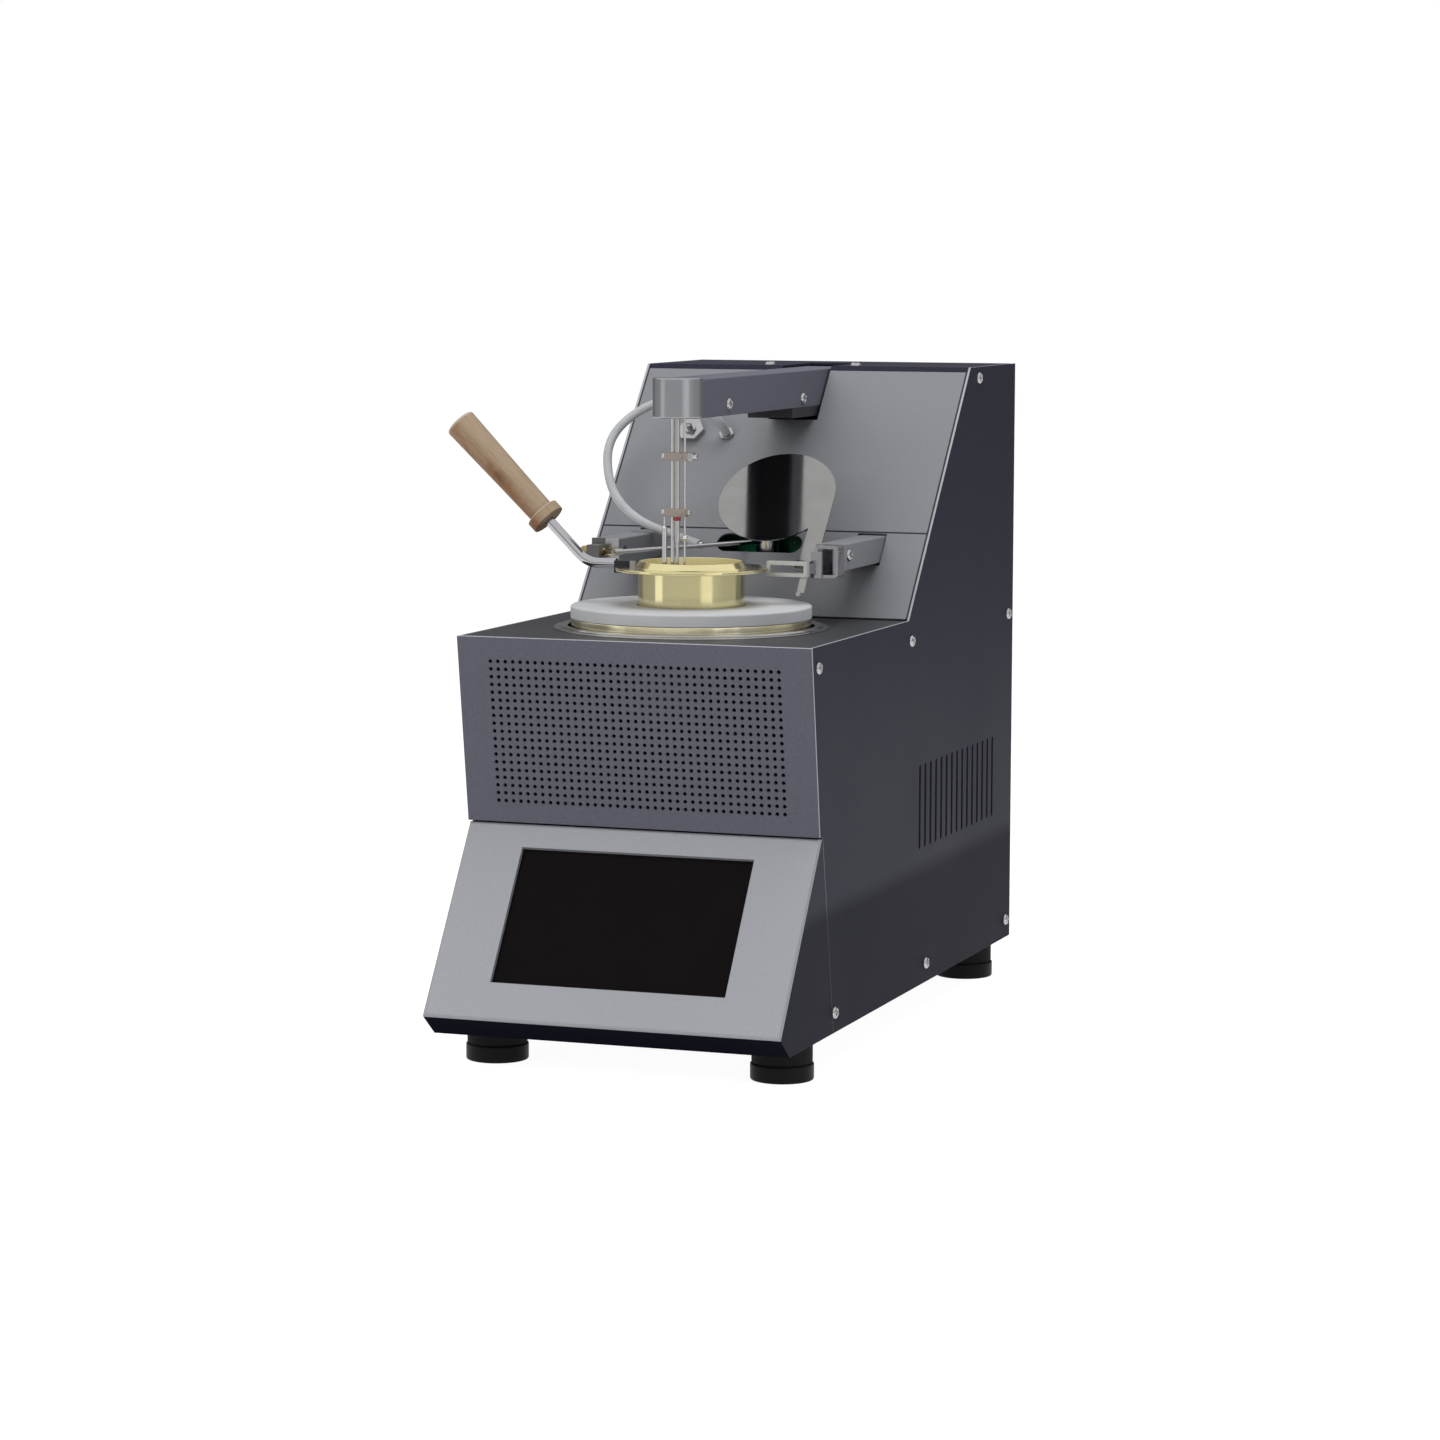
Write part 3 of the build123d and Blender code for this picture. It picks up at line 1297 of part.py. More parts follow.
fan_front_y = back_y - sheet - fan_depth
fan_plane = Plane.XZ.offset(-fan_front_y)
fan_bore_radius = 37.0
hub_post_radius = 4.0
with BuildPart() as fan_frame:
    with BuildSketch(fan_plane):
        with Locations((fan_x, fan_height)):
            RectangleRounded(fan_width, fan_width, 4)
            Circle(fan_bore_radius, mode=Mode.SUBTRACT)
    extrude(amount=-fan_depth)
    with BuildSketch(fan_plane):
        with Locations((fan_x, fan_height)):
            Circle(16)
            Rectangle(2 * fan_bore_radius + 2, 5)
            Rectangle(5, 2 * fan_bore_radius + 2)
    extrude(amount=-3)
    with BuildSketch(fan_plane):
        with Locations((fan_x, fan_height)):
            Circle(hub_post_radius)
    extrude(amount=-fan_depth + 6)
finish(fan_frame, "fan_frame")

with BuildPart() as fan_rotor:
    with BuildSketch(fan_plane.offset(-4)):
        with Locations((fan_x, fan_height)):
            Circle(17)
            Circle(hub_post_radius + bearing_clearance, mode=Mode.SUBTRACT)
    extrude(amount=-fan_depth + 8)
    for blade in range(7):
        angle = blade * 360 / 7
        out = Vector(cos(radians(angle)), 0, sin(radians(angle)))
        root = Vector(fan_x, fan_front_y + fan_depth / 2, fan_height) + out * 16
        side = Vector(-sin(radians(angle)), 0, cos(radians(angle)))
        with BuildSketch(Plane(origin=root, x_dir=side, z_dir=out)):
            Rectangle(1.8, 15, rotation=40)
        extrude(amount=fan_bore_radius - 17.5)
finish(fan_rotor, "fan_rotor")
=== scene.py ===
"""Looks for the bench flash point tester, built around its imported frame.

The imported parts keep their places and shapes. This file gives each one its finish, and remodels the turned,
knurled, wooden and flexible parts that need finer surfaces than the frame's: the test cup, the heater's
rings, the wooden grip, the levelling feet, the screws, the probe clamps and the gas hose. It adds two things
of its own that close the view through the cabinet: the hoods behind the louvre slots and the fan's foam pad.

Finishes and the studio are given in metres. Outlines and places of pieces are given in millimetres, unless
they carry MM.
"""

from __future__ import annotations

import logging
import math
from dataclasses import dataclass
from enum import Enum
from typing import Callable, Sequence

import bmesh
import bpy
from mathutils import Matrix, Vector

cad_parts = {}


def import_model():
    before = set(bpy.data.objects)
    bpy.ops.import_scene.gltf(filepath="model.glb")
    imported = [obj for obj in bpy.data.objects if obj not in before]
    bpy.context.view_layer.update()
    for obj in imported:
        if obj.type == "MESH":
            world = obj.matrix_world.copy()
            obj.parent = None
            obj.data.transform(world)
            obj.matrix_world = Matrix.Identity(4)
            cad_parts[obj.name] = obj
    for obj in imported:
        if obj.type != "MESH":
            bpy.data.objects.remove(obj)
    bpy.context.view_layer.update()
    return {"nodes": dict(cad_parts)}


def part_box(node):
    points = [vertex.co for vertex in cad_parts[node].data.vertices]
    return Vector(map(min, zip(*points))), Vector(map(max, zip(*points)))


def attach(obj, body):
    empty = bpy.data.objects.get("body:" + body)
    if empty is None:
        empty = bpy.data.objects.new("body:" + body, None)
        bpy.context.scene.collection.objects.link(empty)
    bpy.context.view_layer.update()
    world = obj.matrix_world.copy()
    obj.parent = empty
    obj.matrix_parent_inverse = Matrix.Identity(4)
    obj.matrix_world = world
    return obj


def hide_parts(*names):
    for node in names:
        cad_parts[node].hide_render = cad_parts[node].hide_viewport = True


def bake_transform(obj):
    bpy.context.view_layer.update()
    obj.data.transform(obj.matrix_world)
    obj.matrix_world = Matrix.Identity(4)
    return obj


log = logging.getLogger("flash_point_tester")

Point2 = tuple[float, float]
Point3 = tuple[float, float, float]
Colour = tuple[float, float, float]
Ring = list[bmesh.types.BMVert]

MM = 0.001
STRAIGHT = math.radians(88)
ON_AXIS = 1e-7
ALIKE = 1e-6
LONG_SIDE = 10 * MM


# ------------------------------------------------------------------------------------------ shader sheets
class Coordinate(Enum):
    """One of the three directions of the tester's frame."""

    ACROSS = 0
    BACK = 1
    UP = 2


class NodeSheet:
    """A node tree with short ways to add to it."""

    def __init__(self, tree: bpy.types.NodeTree) -> None:
        """Work on a node tree.

        Args:
            tree: The tree of a material or of the world.
        """
        self.tree = tree

    def node(self, kind: str, **settings: object) -> bpy.types.Node:
        """Add a node and set its properties and input defaults.

        Args:
            kind: The node's type name.
            **settings: Properties of the node, or names of inputs with spaces written as underscores.

        Returns:
            The new node.
        """
        made = self.tree.nodes.new(kind)
        for key, value in settings.items():
            if hasattr(made, key):
                setattr(made, key, value)
            else:
                made.inputs[key.replace("_", " ")].default_value = value
        return made

    def join(self, source: bpy.types.NodeSocket, target: bpy.types.NodeSocket) -> None:
        """Link an output to an input."""
        self.tree.links.new(source, target)

    def calculate(self, operation: str, first: object, second: object = 0.0) -> bpy.types.NodeSocket:
        """A Math node on sockets or numbers.

        Args:
            operation: The Math node's operation.
            first: A socket or a number.
            second: A socket or a number.

        Returns:
            The result.
        """
        made = self.node("ShaderNodeMath", operation=operation)
        for slot, value in zip(made.inputs, (first, second)):
            if isinstance(value, bpy.types.NodeSocket):
                self.join(value, slot)
            else:
                slot.default_value = float(value)
        return made.outputs["Value"]

    def directly_seen(self) -> bpy.types.NodeSocket:
        """Tell the camera's rays, and those off metal and through glass, from the light's.

        Returns:
            One for such a ray, and zero for the rest.
        """
        rays = self.node("ShaderNodeLightPath")
        seen = self.calculate("MAXIMUM", rays.outputs["Is Camera Ray"], rays.outputs["Is Glossy Ray"])
        return self.calculate("MAXIMUM", seen, rays.outputs["Is Transmission Ray"])

    def mixed(
        self, share: bpy.types.NodeSocket, first: bpy.types.NodeSocket, second: bpy.types.NodeSocket
    ) -> bpy.types.NodeSocket:
        """Mix two shaders.

        Args:
            share: How much of the second.
            first: A shader.
            second: A shader.

        Returns:
            The mixed shader.
        """
        made = self.node("ShaderNodeMixShader")
        for source, slot in zip((share, first, second), made.inputs):
            self.join(source, slot)
        return made.outputs["Shader"]


class ShaderSheet(NodeSheet):
    """A material's node tree with short ways to add what this tester's finishes need."""

    def __init__(self, name: str) -> None:
        """Start a material with a Principled shader.

        Args:
            name: The material's name.
        """
        self.material = bpy.data.materials.new(name)
        self.material.use_nodes = True
        super().__init__(self.material.node_tree)
        self.shader = self.tree.nodes["Principled BSDF"]
        self.place = self.node("ShaderNodeTexCoord").outputs["Object"]

    def drive(self, source: bpy.types.NodeSocket, name: str) -> None:
        """Link an output to the shader's input of that name."""
        self.join(source, self.shader.inputs[name])

    def show(self, source: bpy.types.NodeSocket) -> None:
        """Make a shader the material's surface."""
        self.join(source, self.tree.nodes["Material Output"].inputs["Surface"])

    def constant(self, **values: object) -> None:
        """Set numbers on the shader's own sockets.

        Args:
            **values: Socket names with spaces written as underscores.
        """
        for key, value in values.items():
            socket = self.shader.inputs[key.replace("_", " ")]
            if socket.type == "RGBA" and len(value) == 3:
                value = (*value, 1.0)
            socket.default_value = value

    def stretched(self, scale: Point3, turn: Point3 = (0.0, 0.0, 0.0)) -> bpy.types.NodeSocket:
        """Object coordinates turned and scaled, for grain that runs one way.

        Args:
            scale: The scale along each axis.
            turn: The turn about each axis, in radians.

        Returns:
            The mapped coordinates.
        """
        mapping = self.node("ShaderNodeMapping", vector_type="TEXTURE")
        mapping.inputs["Scale"].default_value = tuple(1 / size for size in scale)
        mapping.inputs["Rotation"].default_value = turn
        self.join(self.place, mapping.inputs["Vector"])
        return mapping.outputs["Vector"]

    def noise(
        self, scale: float, detail: float = 3.0, rough: float = 0.5, where: bpy.types.NodeSocket | None = None
    ) -> bpy.types.NodeSocket:
        """Noise over the part.

        Args:
            scale: Features per metre.
            detail: Octaves.
            rough: Weight of the fine octaves.
            where: Coordinates, or None for the object's own.

        Returns:
            The noise's value.
        """
        made = self.node("ShaderNodeTexNoise", Scale=scale, Detail=detail, Roughness=rough)
        self.join(where or self.place, made.inputs["Vector"])
        return made.outputs["Fac"]

    def ramp(
        self, source: bpy.types.NodeSocket, stops: Sequence[tuple[float, Colour]]
    ) -> bpy.types.NodeSocket:
        """Turn a value into colours.

        Args:
            source: The value.
            stops: (position, colour) pairs in rising order.

        Returns:
            The colour.
        """
        made = self.node("ShaderNodeValToRGB")
        elements = made.color_ramp.elements
        while len(elements) < len(stops):
            elements.new(0.5)
        for element, (position, colour) in zip(elements, stops):
            element.position = position
            element.color = (*colour, 1.0)
        self.join(source, made.inputs["Fac"])
        return made.outputs["Color"]

    def rescale(
        self, source: bpy.types.NodeSocket, low: float, high: float, bottom: float = 0.0, top: float = 1.0
    ) -> bpy.types.NodeSocket:
        """Map a value from one range to another.

        Args:
            source: The value.
            low: The result at bottom.
            high: The result at top.
            bottom: The value that gives low.
            top: The value that gives high.

        Returns:
            The mapped value.
        """
        made = self.node("ShaderNodeMapRange", From_Min=bottom, From_Max=top, To_Min=low, To_Max=high)
        self.join(source, made.inputs["Value"])
        return made.outputs["Result"]

    def part_of(self, vector: bpy.types.NodeSocket, coordinate: Coordinate) -> bpy.types.NodeSocket:
        """One number of a vector.

        Args:
            vector: The vector.
            coordinate: Which of its numbers.

        Returns:
            The number.
        """
        made = self.node("ShaderNodeSeparateXYZ")
        self.join(vector, made.inputs["Vector"])
        return made.outputs[coordinate.value]

    def along(self, coordinate: Coordinate) -> bpy.types.NodeSocket:
        """One object coordinate, in metres."""
        return self.part_of(self.place, coordinate)

    def blend(self, share: bpy.types.NodeSocket, first: object, second: object) -> bpy.types.NodeSocket:
        """Mix two colours.

        Args:
            share: How much of the second.
            first: A colour or a colour socket.
            second: A colour or a colour socket.

        Returns:
            The mixed colour.
        """
        made = self.node("ShaderNodeMix", data_type="RGBA")
        for name, value in (("A", first), ("B", second)):
            slot = [s for s in made.inputs if s.name == name and s.type == "RGBA"][0]
            if isinstance(value, bpy.types.NodeSocket):
                self.join(value, slot)
            else:
                slot.default_value = (*value, 1.0)
        self.join(share, made.inputs[0])
        return [s for s in made.outputs if s.type == "RGBA"][0]

    def looking(self, coordinate: Coordinate) -> bpy.types.NodeSocket:
        """How far the surface's own normal points along a direction of the frame."""
        return self.part_of(self.node("ShaderNodeTexCoord").outputs["Normal"], coordinate)

    def near(self, value: bpy.types.NodeSocket, middle: float, half: float) -> bpy.types.NodeSocket:
        """One where a value lies within half a width of its middle, and zero elsewhere."""
        away = self.calculate("ABSOLUTE", self.calculate("SUBTRACT", value, middle))
        return self.calculate("LESS_THAN", away, half)

    def surface(self, height: bpy.types.NodeSocket, depth: float, edge: float = 0.0) -> None:
        """Give the shader a bump and softly broken edges.

        Args:
            height: The bump's height.
            depth: The bump's distance, in metres.
            edge: The radius of the softened edges, in metres.
        """
        bump = self.node("ShaderNodeBump", Strength=1.0, Distance=depth)
        self.join(height, bump.inputs["Height"])
        if edge > 0:
            bevel = self.node("ShaderNodeBevel", samples=4, Radius=edge)
            self.join(bevel.outputs["Normal"], bump.inputs["Normal"])
        self.drive(bump.outputs["Normal"], "Normal")


# ------------------------------------------------------------------------------------------ finishes
@dataclass(frozen=True)
class Finish:
    """A finish of the tester: a name and the record's slot that it belongs to."""

    name: str
    slot: str

    def material(self) -> bpy.types.Material:
        """Find the finish's material, or make it the first time.

        Returns:
            The material.
        """
        found = bpy.data.materials.get(self.name)
        if found is None:
            sheet = ShaderSheet(self.name)
            self.fill(sheet)
            found = sheet.material
        return found

    def fill(self, sheet: ShaderSheet) -> None:
        """Build the finish's nodes; each kind of finish has its own.

        Args:
            sheet: The material's sheet.
        """
        raise NotImplementedError


@dataclass(frozen=True)
class PowderCoat(Finish):
    """Baked powder coat with its fine grain."""

    colour: Colour = (0.07, 0.07, 0.085)
    roughness: float = 0.5
    grain: float = 1500.0
    depth: float = 0.00004
    speckle: float = 0.25
    cloud: float = 9.0
    cloud_share: float = 0.22
    edge: float = 0.0007
    sheen: float = 0.06
    # rim is the colour of the painted highlight on the sheet's cut edges; the rim_ numbers say where it
    # shows.
    rim: Colour = (0.24, 0.245, 0.26)
    rim_axis: Coordinate | None = None
    rim_below: float = 0.55
    rim_start: float = 0.0
    rim_height: float = 0.2405
    shaded: Colour | None = None
    shaded_below: float = 0.085
    shade_fade: float = 0.012
    shade_share: float = 0.6
    # cheek_seam paints a bright highlight line along the side panel's front edge, in its own bright tone.
    cheek_seam: bool = False
    seam_half: float = 0.0006
    seam_highlight: Colour = (0.15, 0.15, 0.17)

    def painted_edge_highlight(self, sheet: ShaderSheet, colour: bpy.types.NodeSocket) -> bpy.types.NodeSocket:
        """Paint a highlight on the sheet's cut edges, where its normal leaves the sheet's own direction.

        Args:
            sheet: The material's sheet.
            colour: The coat's colour.

        Returns:
            The colour with its painted edge highlights.
        """
        if self.rim_axis is None:
            return colour
        # Painted highlight: where the normal leaves the sheet's direction, above a height or out at the
        # sides.
        flat = sheet.calculate("ABSOLUTE", sheet.looking(self.rim_axis))
        cut = sheet.calculate("LESS_THAN", flat, self.rim_below)
        shown = sheet.calculate("GREATER_THAN", sheet.along(Coordinate.UP), self.rim_height)
        if self.rim_start > 0:
            outer = sheet.calculate("ABSOLUTE", sheet.along(Coordinate.ACROSS))
            shown = sheet.calculate("MAXIMUM", sheet.calculate("GREATER_THAN", outer, self.rim_start), shown)
        cut = sheet.calculate("MULTIPLY", cut, shown)
        return sheet.blend(cut, colour, self.rim)

    def painted_seam_highlight(self, sheet: ShaderSheet, colour: bpy.types.NodeSocket) -> bpy.types.NodeSocket:
        """Paint a bright highlight line where the side panel's edge meets the front shell's cheek.

        Args:
            sheet: The material's sheet.
            colour: The coat's colour.

        Returns:
            The colour with the painted highlight line on it.
        """
        if not self.cheek_seam:
            return colour
        lean = sheet.calculate("MULTIPLY", sheet.along(Coordinate.UP), CHEEK_LEAN)
        back = sheet.calculate("ADD", sheet.along(Coordinate.BACK), lean)
        low = sheet.calculate("LESS_THAN", sheet.along(Coordinate.UP), CHEEK_TOP)
        line = sheet.calculate("MULTIPLY", sheet.near(back, CHEEK_FOOT, self.seam_half), low)
        return sheet.blend(line, colour, self.seam_highlight)

    def shadow(self, sheet: ShaderSheet, colour: bpy.types.NodeSocket) -> bpy.types.NodeSocket:
        """Darken the faces that look down and the foot of the panel, and take their sheen.

        Args:
            sheet: The material's sheet.
            colour: The coat's colour.

        Returns:
            The colour with its dark places.
        """
        if self.shaded is None:
            return colour
        down = sheet.calculate("LESS_THAN", sheet.looking(Coordinate.UP), -0.5)
        fade_from = self.shaded_below - self.shade_fade
        height = sheet.along(Coordinate.UP)
        low = sheet.rescale(height, self.shade_share, 0.0, bottom=fade_from, top=self.shaded_below)
        shade = sheet.calculate("MAXIMUM", down, low)
        sheet.drive(sheet.rescale(shade, self.sheen, 0.0), "Specular IOR Level")
        return sheet.blend(shade, colour, self.shaded)

    def fill(self, sheet: ShaderSheet) -> None:
        """Grained colour, a soft cloudiness, painted highlights on the cut edges and a fine orange-peel bump.

        Args:
            sheet: The material's sheet.
        """
        fine = sheet.noise(self.grain, 2.0, 0.6)
        cloud = sheet.noise(self.cloud, 3.0, 0.5)
        dark = tuple(c * (1 - self.speckle) for c in self.colour)
        light = tuple(c * (1 + self.speckle) for c in self.colour)
        grained = sheet.ramp(fine, [(0.32, dark), (0.68, light)])
        worn = sheet.blend(sheet.rescale(cloud, 0.0, self.cloud_share, bottom=0.35, top=0.75), grained, light)
        sheet.constant(Specular_IOR_Level=self.sheen)
        # The coat's colour gets painted edge highlights, a painted highlight line at the cheek seam and
        # painted shade low down.
        sheet.drive(self.shadow(sheet, self.painted_seam_highlight(sheet, self.painted_edge_highlight(sheet, worn))), "Base Color")
        sheet.drive(sheet.rescale(cloud, self.roughness - 0.05, self.roughness + 0.07), "Roughness")
        sheet.surface(fine, self.depth, self.edge)


@dataclass(frozen=True)
class MetallicPaint(Finish):
    """Satin silver paint with metal flakes."""

    colour: Colour = (0.36, 0.375, 0.40)
    roughness: float = 0.42
    metal: float = 0.25
    sheen: float = 0.25
    flake: float = 2600.0
    flake_contrast: float = 0.10
    flake_depth: float = 0.000012
    cloud: float = 7.0
    cloud_share: float = 0.25
    edge: float = 0.0006
    # seams: painted shade in the gaps where the face panels meet the side panels and each other.
    seams: bool = False
    side_seam: float = 0.1140
    cross_seam: float = 0.29885
    seam_half: float = 0.0005
    seam_shade: Colour = (0.035, 0.035, 0.042)

    def fill(self, sheet: ShaderSheet) -> None:
        """A flake sparkle over a faintly uneven tone, and painted shade in the gaps along the seams.

        Args:
            sheet: The material's sheet.
        """
        flake = sheet.noise(self.flake, 1.0, 0.5)
        cloud = sheet.noise(self.cloud, 2.0, 0.5)
        dark = tuple(c * (1 - self.flake_contrast) for c in self.colour)
        light = tuple(min(1.0, c * (1 + self.flake_contrast)) for c in self.colour)
        tone = sheet.ramp(flake, [(0.35, dark), (0.65, light)])
        toned = sheet.blend(sheet.rescale(cloud, 0.0, self.cloud_share, bottom=0.3, top=0.8), tone, dark)
        # Painted shade: a dark line in the gap at each side and along the cross seam.
        if self.seams:
            outer = sheet.calculate("ABSOLUTE", sheet.along(Coordinate.ACROSS))
            side = sheet.calculate("GREATER_THAN", outer, self.side_seam)
            cross = sheet.near(sheet.along(Coordinate.UP), self.cross_seam, self.seam_half)
            toned = sheet.blend(sheet.calculate("MAXIMUM", side, cross), toned, self.seam_shade)
        sheet.drive(toned, "Base Color")
        sheet.drive(sheet.rescale(cloud, self.roughness - 0.04, self.roughness + 0.05), "Roughness")
        sheet.constant(Metallic=self.metal, Specular_IOR_Level=self.sheen)
        sheet.surface(flake, self.flake_depth, self.edge)


@dataclass(frozen=True)
class BareMetal(Finish):
    """Polished, brushed or plated metal."""

    colour: Colour = (0.62, 0.62, 0.63)
    roughness: float = 0.2
    brush: Point3 = (400.0, 400.0, 400.0)
    tarnish: float = 45.0
    depth: float = 0.000006
    stain: float = 0.12
    edge: float = 0.0003
    # Below this height the colour turns to painted shade, for the inside of the well under the deck.
    painted_shade_below: float | None = None
    painted_shade_tone: Colour = (0.03, 0.029, 0.028)

    def fill(self, sheet: ShaderSheet) -> None:
        """Fine lines along the brushing, a little tarnish, and painted shade below a height.

        Args:
            sheet: The material's sheet.
        """
        lines = sheet.noise(1.0, 3.0, 0.6, sheet.stretched(self.brush))
        cloud = sheet.noise(self.tarnish, 4.0, 0.6)
        dull = tuple(c * (1 - self.stain) for c in self.colour)
        tone = sheet.blend(sheet.rescale(cloud, 0.0, 1.0, bottom=0.38, top=0.72), self.colour, dull)
        # Painted shade: near black below the height, where the well sits under the deck.
        if self.painted_shade_below is not None:
            low = sheet.calculate("LESS_THAN", sheet.along(Coordinate.UP), self.painted_shade_below)
            tone = sheet.blend(low, tone, self.painted_shade_tone)
        sheet.drive(tone, "Base Color")
        mixed = sheet.calculate("ADD", sheet.rescale(lines, 0.0, 0.08), sheet.rescale(cloud, -0.03, 0.05))
        sheet.drive(sheet.calculate("ADD", mixed, self.roughness - 0.02), "Roughness")
        sheet.constant(Metallic=1.0)
        sheet.surface(lines, self.depth, self.edge)


@dataclass(frozen=True)
class TurnedBrass(Finish):
    """Brass from the lathe, with tool lines round its axis and heat stains."""

    centre: Point2 = (0.0, 0.0)
    colour: Colour = (0.66, 0.53, 0.20)
    stained: Colour = (0.42, 0.30, 0.09)
    roughness: float = 0.22
    stain: float = 0.35
    tool_lines: float = 2600.0
    line_depth: float = 0.000002
    edge: float = 0.0002
    patches: float = 34.0
    spots: float = 420.0
    spot_share: float = 0.6
    bore: float = 0.0
    bore_dullness: float = 0.25
    bore_metal: float = 0.45

    def fill(self, sheet: ShaderSheet) -> None:
        """Rings by radius and height, and stains that gather in patches.

        Args:
            sheet: The material's sheet.
        """
        x = sheet.calculate("SUBTRACT", sheet.along(Coordinate.ACROSS), self.centre[0])
        y = sheet.calculate("SUBTRACT", sheet.along(Coordinate.BACK), self.centre[1])
        square = sheet.calculate("ADD", sheet.calculate("MULTIPLY", x, x), sheet.calculate("MULTIPLY", y, y))
        radius = sheet.calculate("SQRT", square)
        course = sheet.calculate("ADD", radius, sheet.along(Coordinate.UP))
        line = sheet.node(
            "ShaderNodeTexNoise", noise_dimensions="1D", Scale=self.tool_lines, Detail=2.0, Roughness=0.6
        )
        sheet.join(course, line.inputs["W"])
        patch = sheet.noise(self.patches, 5.0, 0.62)
        spots = sheet.noise(self.spots, 2.0, 0.5)
        stained = sheet.rescale(patch, 0.0, self.stain, bottom=0.42, top=0.72)
        worn = sheet.blend(stained, self.colour, self.stained)
        spotted = sheet.rescale(spots, 0.0, self.spot_share * self.stain, bottom=0.66, top=0.80)
        sheet.drive(sheet.blend(spotted, worn, self.stained), "Base Color")
        dulled = sheet.rescale(patch, -0.05, 0.10, bottom=0.3, top=0.8)
        uneven = sheet.calculate("ADD", dulled, self.roughness)
        sheet.constant(Metallic=1.0)
        if self.bore > 0:
            inside = sheet.calculate("LESS_THAN", radius, self.bore)
            uneven = sheet.calculate("ADD", uneven, sheet.calculate("MULTIPLY", inside, self.bore_dullness))
            sheet.drive(sheet.rescale(inside, 1.0, self.bore_metal), "Metallic")
        sheet.drive(uneven, "Roughness")
        sheet.surface(line.outputs["Fac"], self.line_depth, self.edge)


@dataclass(frozen=True)
class FibreBoard(Finish):
    """Pressed mineral board, matt and slightly mottled."""

    colour: Colour = (0.60, 0.62, 0.645)
    mottle: float = 0.08
    patches: float = 60.0
    grain: float = 900.0
    depth: float = 0.00005
    edge: float = 0.0005
    roughness: float = 0.72
    sheen: float = 0.3

    def fill(self, sheet: ShaderSheet) -> None:
        """Mottled colour and a chalky bump.

        Args:
            sheet: The material's sheet.
        """
        soft = sheet.noise(self.patches, 4.0, 0.55)
        fine = sheet.noise(self.grain, 3.0, 0.6)
        dark = tuple(c * (1 - 2 * self.mottle) for c in self.colour)
        tone = sheet.blend(sheet.rescale(soft, 0.0, 0.6, bottom=0.4, top=0.8), self.colour, dark)
        sheet.drive(tone, "Base Color")
        sheet.constant(Roughness=self.roughness, Specular_IOR_Level=self.sheen)
        sheet.surface(fine, self.depth, self.edge)


@dataclass(frozen=True)
class HandleWood(Finish):
    """Varnished light wood with grain along the grip."""

    axis: Point3 = (0.0, -0.785398, 0.0)
    foot: Point3 = (-0.097817, -0.1177, 0.311017)
    end: float = 0.0862
    collar: float = 0.0068
    collar_half: float = 0.0005
    pale: Colour = (0.31, 0.235, 0.160)
    tan: Colour = (0.240, 0.168, 0.105)
    brown: Colour = (0.19, 0.088, 0.033)
    scorch: Colour = (0.090, 0.028, 0.011)
    bare: Colour = (0.38, 0.32, 0.25)
    bare_share: float = 0.85
    grain: Point3 = (520.0, 520.0, 30.0)
    streaks: Point3 = (170.0, 170.0, 16.0)
    patches: Point3 = (75.0, 75.0, 34.0)
    grain_depth: float = 0.00012
    sheen: float = 0.3

    def across(self, sheet: ShaderSheet, direction: Point3) -> bpy.types.NodeSocket:
        """The distance from the grip's foot along a direction.

        Args:
            sheet: The material's sheet.
            direction: The direction, one long.

        Returns:
            The distance, in metres.
        """
        dot = sheet.node("ShaderNodeVectorMath", operation="DOT_PRODUCT")
        sheet.join(sheet.place, dot.inputs[0])
        dot.inputs[1].default_value = direction
        start = sum(a * b for a, b in zip(direction, self.foot))
        return sheet.calculate("SUBTRACT", dot.outputs["Value"], start)

    def fill(self, sheet: ShaderSheet) -> None:
        """Long streaks, scorched patches on the underside, a pale end and a worn varnish.

        Args:
            sheet: The material's sheet.
        """
        slope = math.sqrt(0.5)
        run = self.across(sheet, (-slope, 0.0, slope))
        under = self.across(sheet, (-slope, 0.0, -slope))
        grain = sheet.noise(1.0, 4.0, 0.62, sheet.stretched(self.grain, self.axis))
        streak = sheet.noise(1.0, 3.0, 0.55, sheet.stretched(self.streaks, self.axis))
        patch = sheet.noise(1.0, 4.0, 0.6, sheet.stretched(self.patches, self.axis))
        body = sheet.ramp(grain, [(0.30, self.tan), (0.50, self.pale), (0.72, self.tan)])
        streaked = sheet.blend(sheet.rescale(streak, 0.0, 0.35, bottom=0.50, top=0.66), body, self.brown)
        low = sheet.rescale(under, 0.0, 1.0, bottom=-0.004, top=0.0045)
        browned = sheet.calculate("MULTIPLY", low, sheet.rescale(patch, 0.25, 1.0, bottom=0.34, top=0.52))
        shaded = sheet.blend(browned, streaked, self.brown)
        scorched = sheet.calculate("MULTIPLY", low, sheet.rescale(patch, 0.0, 0.9, bottom=0.56, top=0.68))
        marked = sheet.blend(scorched, shaded, self.scorch)
        tip = sheet.calculate("GREATER_THAN", run, self.end)
        worn = sheet.calculate("MAXIMUM", tip, sheet.near(run, self.collar, self.collar_half))
        ended = sheet.blend(sheet.calculate("MULTIPLY", worn, self.bare_share), marked, self.bare)
        sheet.drive(ended, "Base Color")
        sheet.drive(sheet.rescale(grain, 0.42, 0.62), "Roughness")
        sheet.constant(Specular_IOR_Level=self.sheen)
        sheet.surface(grain, self.grain_depth)


